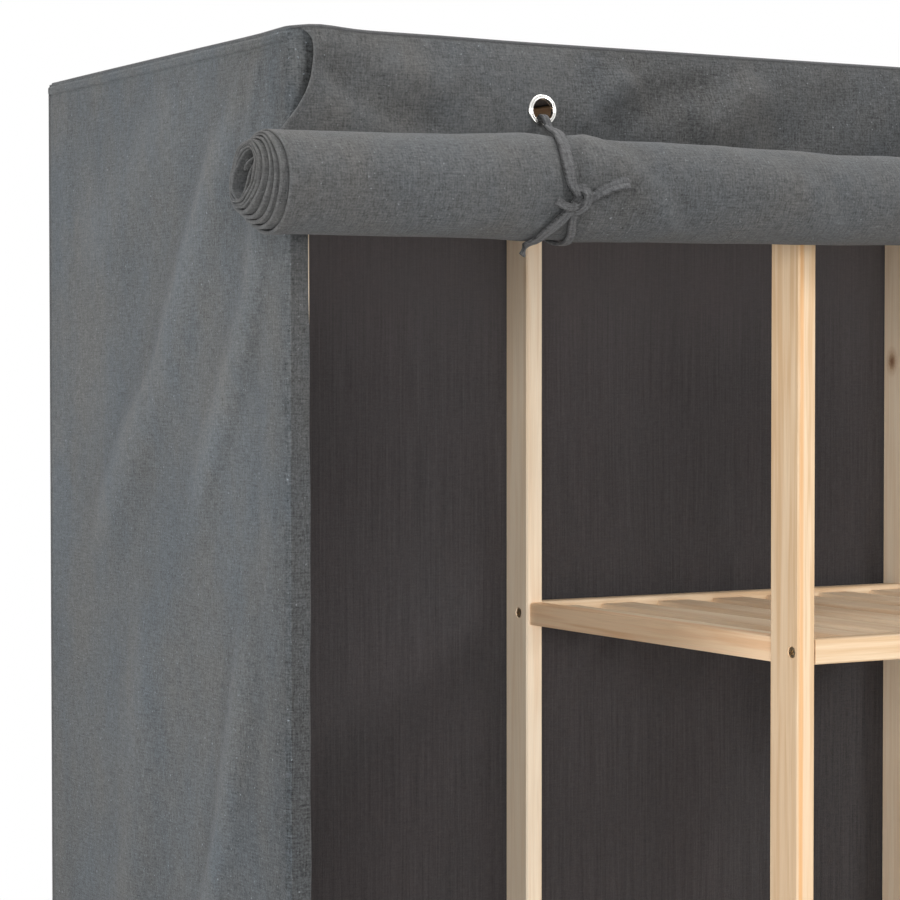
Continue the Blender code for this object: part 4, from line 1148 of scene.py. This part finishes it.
def front_columns():
    """Places across the cloth from -1 to 1, close together at the hems."""
    near_end = [0, 0.0022, 0.0050, 0.0085, 0.0122, 0.0165, 0.0215, 0.0285]
    half = 1 - np.concatenate([near_end, np.linspace(0.038, 1.0, 92)])
    return np.concatenate([-half, half[-2::-1]])


def hem_weight(shares, turns):
    """Share of the full thickness: the side hems are doubled, and the inner turns pressed thin."""
    from_end = (1 - np.abs(shares)) * HALF_WIDTH
    hem = falling(from_end, HEM_WIDTH + HEM_EDGE, HEM_EDGE) * falling(turns, LOOSE_TURNS, 0.6)
    under = np.clip(np.sin(2 * np.pi * turns), 0, 1) * smoothstep(turns / 0.1)
    doubled = HEM_SHARE + (1 - HEM_SHARE) * under
    single = SINGLE_SHARE + (INNER_SHARE - SINGLE_SHARE) * smoothstep(turns - LOOSE_TURNS)
    return single + (doubled - single) * hem


def make_front():
    """One sheet: the flap, the roll's outer turn, and inner turns that are fine at their ends."""
    share = front_columns()
    columns = len(share)
    down = np.linspace(0, 1, FLAP_ROWS + 1)[:-1]
    turn = np.linspace(0, OUTER_TURNS, OUTER_ROWS + 1)
    flap = flap_shape(*np.broadcast_arrays(share, down[:, None]))
    outer = roll_shape(*np.broadcast_arrays(share, turn[:, None]))
    first = np.concatenate([flap, outer])
    rows = len(first)
    last = columns - END_COLUMNS
    middle = range(END_COLUMNS - 1, last, MIDDLE_STEP)
    kept = sorted({*range(END_COLUMNS), *middle, *range(last, columns)})
    inner_share = share[kept]
    inner_turn = np.concatenate([
        np.linspace(start, end, int((end - start) * TURN_STEPS) + 1)[1:]
        for start, end in ((OUTER_TURNS, LOOSE_TURNS), (LOOSE_TURNS, TURNS))
    ])
    inner = roll_shape(*np.broadcast_arrays(inner_share, inner_turn[:, None]))

    index = np.arange(rows * columns).reshape(rows, columns)
    inner_index = rows * columns + np.arange(inner[..., 0].size).reshape(inner.shape[:2])
    faces = quads(index).tolist()
    start_row = inner_index[0].tolist()
    for a, b, p, q in zip(kept, kept[1:], start_row, start_row[1:]):
        faces.append([*index[-1, a : b + 1].tolist(), q, p])
    faces += quads(inner_index).tolist()

    run = run_along(np.concatenate([first[:, columns // 2], inner[:, len(kept) // 2]]))
    along = np.concatenate([run[:rows].repeat(columns), run[rows:].repeat(len(kept))])
    points = np.concatenate([first.reshape(-1, 3), inner.reshape(-1, 3)])
    mesh = bpy.data.meshes.new("cover_front_cloth")
    mesh.from_pydata(points.tolist(), [], faces)
    set_uv(mesh, np.stack([points[:, 0], along], -1), np.concatenate(faces))
    mesh.shade_smooth()
    mesh.materials.append(FRONT_CLOTH)
    # Painted highlight along the cloth's side edges, on every turn of the roll
    edge_highlight = 0.30 * falling((1 - np.abs(share)) * HALF_WIDTH, HEM_EDGE, HEM_EDGE)
    first_shading = front_painted_shading(share, turn, flap) + edge_highlight
    set_painted_shading(mesh, np.concatenate([first_shading.ravel(), np.tile(edge_highlight[kept], len(inner))]))
    front = new_object("cover_front_cloth", mesh)

    shares = np.concatenate([np.tile(share, rows), np.tile(inner_share, len(inner))])
    first_turn = np.concatenate([np.zeros(FLAP_ROWS), turn])
    turns = np.concatenate([first_turn.repeat(columns), inner_turn.repeat(len(kept))])
    weight = np.round(hem_weight(shares, turns), 2)
    group = front.vertex_groups.new(name="hem")
    for level in np.unique(weight):
        group.add(np.nonzero(weight == level)[0].tolist(), float(level), "REPLACE")
    thicken(front, FULL_THICKNESS, vertex_group="hem")
    cut_eyelet_holes(front)
    declare(front, "rolled_front", "cover_front_roll")
    return [hem_line(sign, inset) for sign in (-1, 1) for inset in HEM_LINES]


def hem_line(sign, inset):
    """Stitches' places down a side hem and round the roll, on the cloth's outer face."""
    share = sign * (1 - inset / END_HALF)
    down, turns = np.linspace(0.04, 0.99, 60), np.linspace(0.02, 1.12, 150)

    def line(x_share):
        flap = flap_shape(np.full(down.shape, x_share), down)
        return np.concatenate([flap, roll_shape(np.full(turns.shape, x_share), turns)])

    places = line(share)
    normals = np.cross(np.gradient(places, axis=0), (places - line(share * 0.98)) * sign)
    normals /= np.linalg.norm(normals, axis=1)[:, None]
    normals *= np.where(normals[:40, 1].mean() > 0, -1, 1)
    all_turns = np.concatenate([np.zeros(down.shape), turns])
    weights = hem_weight(np.full(all_turns.shape, share), all_turns)
    run = run_along(places)
    found = []
    for at in np.arange(0, run[-1], STITCH_STEP):
        place = Vector([np.interp(at, run, column) for column in places.T])
        normal = Vector([np.interp(at, run, column) for column in normals.T]).normalized()
        lift = FULL_THICKNESS / 2 * float(np.interp(at, run, weights)) + THREAD_LIFT
        found.append((place + normal * lift, normal))
    return found


def make_stitches(name, lines, body):
    """Short threads lying on the cloth along each line of (place, normal)."""
    builder = bmesh.new()
    for line in lines:
        for (start, normal), (end, _) in zip(line, line[1:]):
            along = (end - start) * STITCH_SHARE
            if along.length > LONGEST_STITCH:
                continue
            across = along.cross(normal).normalized() * 0.30 * MM
            rise = normal * 0.16 * MM
            middle = start + along / 2
            ring = [builder.verts.new(middle + a) for a in (across, rise, -across, -rise)]
            tips = [builder.verts.new(start), builder.verts.new(start + along)]
            for a, b in zip(ring, ring[1:] + ring[:1]):
                builder.faces.new((a, b, tips[1]))
                builder.faces.new((b, a, tips[0]))
    bmesh.ops.recalc_face_normals(builder, faces=builder.faces)
    declare(object_from(builder, name, THREAD, 80), body)


def flap_point(x, z):
    """The flap's middle surface at a place, and the way it faces."""
    down = (FLAP_TOP - z) / (SEAM_Z - ROLL_Z)

    def at(x, down):
        return Vector(flap_shape(np.array([x / flap_row(down)[1]]), np.array([down]))[0])

    along_x = at(x + 4 * MM, down) - at(x - 4 * MM, down)
    along_z = at(x, down - 0.04) - at(x, down + 0.04)
    normal = along_x.cross(along_z).normalized()
    return at(x, down), -normal if normal.y > 0 else normal


EYELETS = {side: flap_point(x, EYELET_Z) for side, x in TIE_X.items()}
# (radius, height) in mm round a ring's section, with a flatter washer behind
EYELET_PROFILE = (
    (10.4, -0.7), (10.55, -0.2), (10.45, 0.4), (10.15, 0.9), (9.7, 1.2), (9.25, 1.2),
    (8.95, 0.9), (8.85, 0.55), (8.75, 0.9), (8.45, 1.35), (8.0, 1.5), (7.6, 1.25), (7.5, 0.7),
    (7.45, -0.1), (7.4, -0.9), (7.45, -1.7), (7.7, -2.0), (8.6, -2.05), (9.8, -1.85),
    (10.1, -1.5), (9.8, -1.2), (8.3, -0.95),
)


def eyelet_frame(side):
    place, normal = EYELETS[side]
    return Matrix.Translation(place) @ normal.to_track_quat("Z", "Y").to_matrix().to_4x4()


def cut_eyelet_holes(front):
    """Round holes through the flap; the rings cover their edges."""
    builder = bmesh.new()
    for side in TIE_X:
        bmesh.ops.create_cone(
            builder, cap_ends=True, segments=40, radius1=EYELET_CUT, radius2=EYELET_CUT,
            depth=14 * MM, matrix=eyelet_frame(side),
        )
    cut(front, object_from(builder, "eyelet_holes", FRONT_CLOTH))


def make_eyelets():
    """Rolled rings pressed through the flap."""
    profile = [(r * MM, (z + 0.75) * MM) for r, z in EYELET_PROFILE]
    for side in TIE_X:
        builder = bmesh.new()
        turned(builder, profile, 56, True)
        ring = object_from(builder, f"{side}_eyelet_ring", NICKEL, 60)
        ring.data.transform(eyelet_frame(side))
        declare(ring, "rolled_front", f"{side}_eyelet")


# The ties

# Across and up shares of the folded tape's section: two round edges, a crease along its face
TAPE_SECTION = (
    (1.0, 0.0), (0.97, 0.55), (0.85, 0.9), (0.62, 1.0), (0.34, 0.95), (0.14, 0.80), (0.04, 0.62),
    (-0.08, 0.84), (-0.34, 1.0), (-0.62, 1.0), (-0.86, 0.88), (-0.97, 0.5), (-1.0, 0.0),
    (-0.95, -0.6), (-0.7, -0.95), (-0.2, -0.9), (0.2, -0.9), (0.7, -0.95), (0.95, -0.6),
)
# Painted shade on the tape: its face painted lighter, its edges, back and crease darker
TAPE_PAINTED_SHADE = [
    0.22 - 0.64 * float(rising(abs(a), 0.60, 0.37)) - 0.25 * (b < 0) - 0.2 * (abs(a - 0.04) < 0.05)
    for a, b in TAPE_SECTION
]
# side: the knot's place along the roll from the eyelet in mm, its degrees above the roll's front,
# whether it is mirrored, and how far its tails lean
KNOTS = {"left": (-8, -13.6, 1, 0.0), "middle": (7, -10.0, -1, 6.0), "right": (-6, -16.0, 1, -5.0)}

# The tape's parts by the knot: mm beside and above the knot's middle, lift above the roll, width
# share, then how much it leans and how far its face turns up
FROM_KNOT = (
    (1.5, -3, 1.4, 0.8), (0.5, -9, 0.7, 0.8), (2.0, -18, 0.4, 0.8), (6.0, -29, 0.3, 0.85),
    (8.5, -39, 0.3, 0.95),
)
TO_KNOT = ((-1.5, 5.5, 2.0, 0.8), (0.5, 2.0, 2.4, 0.75))
RIGHT_TAIL = (
    (35, 10.5, 4.4, 1.30, 0.7, 0.3), (30, 10.2, 4.2, 1.26, 0.6, 0.3),
    (23, 8.6, 3.8, 1.14, 0.4, 0.3), (15, 5.2, 3.4, 1.0, 0.2, 0.3), (8, 0.6, 3.2, 0.82),
    (2, -3.0, 3.9, 0.72), (-5, -4.6, 3.7, 0.72), (-11, -3.4, 3.1, 0.74), (-17, -0.8, 2.2, 0.80),
)
LEFT_TAIL = (
    (2.5, 2.5, 1.2, 0.75), (-2.5, -5.0, 1.6, 0.85), (-7, -11.0, 1.7, 1.1),
    (-12, -18, 1.3, 1.22, 0.3), (-16, -26, 1.0, 1.22, 0.5), (-18.5, -35, 0.9, 1.1, 0.5),
    (-20, -43, 0.9, 1.0),
)
KNOT_TURN = (
    (-2.5, 6.6, 0.6, 0.75), (0.5, 7.4, 1.6, 0.8), (3.6, 6.6, 3.6, 0.85), (5.2, 3.4, 5.6, 0.88),
    (4.9, -0.8, 6.2, 0.86), (3.4, -4.8, 5.2, 0.82), (1.6, -7.6, 3.0, 0.78), (0.2, -8.8, 0.8, 0.72),
)
# Down the roll's front: share of the knot's shift, degrees, lift in mm, width share
DOWN_FRONT = (
    (0.85, 86, 1.3, 1.1), (1.15, 68, 0.6, 1.2), (1.55, 44, 0.4, 1.3), (1.70, 18, 0.4, 1.25),
    (1.50, 3, 0.8, 1.0),
)
# Through the eyelet: y and z in mm from its middle, facing, width share
THROUGH_EYELET = (
    (6.0, -12.5, (0, 1, 0.15), 0.9), (3.2, -6.6, (0, 0.8, 0.6), 0.78),
    (0.4, -3.9, (0, 0.25, 1), 0.70), (-3.0, -4.2, (0, -0.2, 1), 0.72),
    (-6.2, -7.4, (0, -0.7, 0.7), 0.80), (-9.2, -11.8, (0, -0.75, 0.66), 0.88),
)


def on_roll(x, degrees, lift):
    """A point above the roll's outer turn, and the way its surface faces there."""
    angle = math.radians(degrees)
    normal = Vector((0.0, -math.cos(angle), math.sin(angle)))
    swell = float(roll_swell(np.array([x]), np.array([float(degrees)]))[0])
    return Vector((x, ROLL_Y, ROLL_Z)) + normal * (ROLL_RADIUS + swell + lift), normal


def tape(builder, controls, step, seed):
    """A flat folded tape through (place, facing, width share) controls, slightly crushed."""
    turns = [place for place, _, _ in controls]
    facings = np.array([facing.normalized() for _, facing, _ in controls])
    shares = [share for _, _, share in controls]
    places = spline_points(turns, step)
    turn_run, run = run_along(turns), run_along(places)
    layer = builder.verts.layers.float.get("wear_and_shading") or builder.verts.layers.float.new("wear_and_shading")

    def wobble(*place):
        return noise.noise(Vector(place))

    rings = []
    for i, (place, at) in enumerate(zip(places, run)):
        share_at = at * turn_run[-1] / run[-1]
        facing = Vector([np.interp(share_at, turn_run, column) for column in facings.T])
        across, up = section(places, i, facing.normalized())
        wide = TAPE_WIDTH * np.interp(share_at, turn_run, shares)
        wide *= 1 + 0.06 * wobble(at / (6 * MM) + seed, seed, 0.3)
        high = TAPE_THICKNESS * (1 + 0.16 * wobble(at / (4 * MM) - seed, 1.7, seed))
        roll_over = 0.12 * wobble(at / (9 * MM), seed * 3, 5.1)
        ring = []
        for k, ((a, b), wear_and_shading) in enumerate(zip(TAPE_SECTION, TAPE_PAINTED_SHADE)):
            fuzz = 0.10 * wobble(at / (1.6 * MM), k * 1.9 + seed, 8.2)
            raised = b * high / 2 * (1 + fuzz) + roll_over * a * high
            aside = a * wide / 2 * (1 + 0.3 * fuzz)
            ring.append(builder.verts.new(place + across * float(aside) + up * float(raised)))
            ring[-1][layer] = wear_and_shading
        rings.append(ring)
    join_rings(builder, rings)
    return places


def tie_piece(builder, name, node):
    made = object_from(builder, name, TIE_CLOTH, 50)
    add_tape_uv(made)
    declare(made, "rolled_front", node)
    return made


def make_tie(side):
    """A cloth tie through the eyelet and round the roll, knotted in front."""
    shift, knot_angle, hand, tilt = KNOTS[side]
    tie, shift = TIE_X[side], shift * MM
    knot_x = tie + shift
    per_mm = math.degrees(MM / (ROLL_RADIUS + MM))

    def over(x, degrees, lift, share=1.0):
        return *on_roll(x, degrees, TAPE_THICKNESS / 2 + lift * MM), share

    def by_knot(aside, above, lift, share, lean=0.0, up=0.0):
        degrees = knot_angle + (above + tilt * lean) * per_mm
        point, normal, share = over(knot_x + hand * aside * MM, degrees, lift, share)
        return point, normal + UP * up, share

    def knot_tape(rows, step, seed, end=()):
        return tape(builder, [*(by_knot(*row) for row in rows), *end], step * MM, seed + tie)

    # From the knot down under the roll, up behind the flap, out of the eyelet and down to the knot
    controls = [by_knot(*row) for row in FROM_KNOT]
    under = knot_x + hand * 9.5 * MM
    for degrees in (-100, -120, -140, -160, -176):
        controls.append(over(under + (tie - under) * (degrees + 100) / -76, degrees, 0.25))
    behind = FLAP_Y + CLOTH + TAPE_THICKNESS / 2 + 0.2 * MM
    for z, share in ((13, 1.0), (27, 0.95)):
        controls.append((Vector((tie, behind, ROLL_Z + z * MM)), Vector((0, 1, 0)), share))
    for y, z, facing, share in THROUGH_EYELET:
        controls.append((EYELETS[side][0] + Vector((0, y, z)) * MM, Vector(facing), share))
    controls += [over(tie + shift * part, *row) for part, *row in DOWN_FRONT]
    controls += [by_knot(*row) for row in TO_KNOT]
    builder = bmesh.new()
    path = tape(builder, controls, 1.1 * MM, 1.0 + 7 * tie)
    strap = tie_piece(builder, f"{side}_tie_tape", f"{side}_tie_strap")

    builder = bmesh.new()
    # The right tail runs through the knot and ends in a small ear on the left
    knot_tape(RIGHT_TAIL, 0.9, 3.0)
    # The left tail comes out under the knot and hangs off the roll's underside
    hang, facing, _ = by_knot(*LEFT_TAIL[-1])
    drop = Vector((-hand * 2.5, 0.2, -6.5)) * MM
    knot_tape(LEFT_TAIL, 0.9, 5.0, [(hang + drop, facing + Vector((0, -0.6, 0)), 1.0)])
    # The turn that binds the knot
    knot_tape(KNOT_TURN, 0.8, 9.0)
    bow = tie_piece(builder, f"{side}_tie_knot", f"{side}_tie_bow")


# The stage


def make_camera():
    data = bpy.data.cameras.new("camera")
    data.sensor_width = 36.0
    data.lens = CAMERA_LENS
    data.clip_start, data.clip_end = 0.05, 60.0
    camera = new_object("camera", data)
    camera.location = CAMERA_PLACE
    turn, pitch, roll = (math.radians(a) for a in CAMERA_TURN)
    level = Matrix.Rotation(-turn, 4, "Z") @ Matrix.Rotation(math.radians(90) + pitch, 4, "X")
    camera.rotation_euler = (level @ Matrix.Rotation(roll, 4, "Z")).to_euler()
    bpy.context.scene.camera = camera


def make_lamp(name, place, target, size, power, colour=(1, 1, 1)):
    data = bpy.data.lights.new(name, "AREA")
    data.shape = "RECTANGLE"
    data.size, data.size_y = size
    data.energy, data.color = power, colour
    lamp = new_object(name, data)
    lamp.location = place
    lamp.rotation_mode = "QUATERNION"
    lamp.rotation_quaternion = (Vector(target) - lamp.location).to_track_quat("-Z", "Y")


def floor_look():
    """Pale floor that turns into the white background away from the object."""
    n = new_material("floor")
    place = n.coordinates()
    grain = n.ramp(n.noise(place, 2.0), 0.3, 0.7)
    look = n.shade(Base_Color=n.mix(grain, (0.80,) * 3, (0.83,) * 3), Roughness=0.9)
    away = n.vector("LENGTH", place, out="Value")
    fade = n.ramp(away, *FLOOR_FADE, interpolation_type="SMOOTHSTEP")
    pale = Value(n, n.tree.nodes["Principled BSDF"].outputs[0])
    white = n.add("ShaderNodeEmission", {"Strength": 1.0})
    both = n.add("ShaderNodeMixShader", {0: fade * n.seen(), 1: pale, 2: white})
    n.put(n.tree.nodes["Material Output"].inputs, {"Surface": both})
    return look


def make_stage():
    world = bpy.data.worlds.new("studio")
    bpy.context.scene.world = world
    n = Nodes(world)
    strength = n.ramp(n.seen(), 0.0, 1.0, WORLD_LIGHT, 1.0)
    n.put(n.tree.nodes["Background"].inputs, {"Color": (1, 1, 1), "Strength": strength})
    builder = bmesh.new()
    bmesh.ops.create_circle(builder, cap_ends=True, segments=96, radius=FLOOR_RADIUS)
    floor = object_from(builder, "floor", floor_look())
    floor.location.z = -0.2 * MM
    for name, settings in LAMPS.items():
        make_lamp(name, *settings)


def build():
    make_camera()
    make_stage()
    make_timber()
    frame_lines = make_side_panel("left", LEFT_FOLDS, 1.0)
    frame_lines += make_side_panel("right", RIGHT_FOLDS, 6.0)
    make_stitches("cover_stitches", frame_lines, "frame")
    make_back_panel()
    make_roof()
    make_piping()
    make_stitches("front_stitches", make_front(), "rolled_front")
    make_eyelets()
    for side in TIE_X:
        make_tie(side)
    bpy.context.scene.view_settings.view_transform = "Standard"


build()
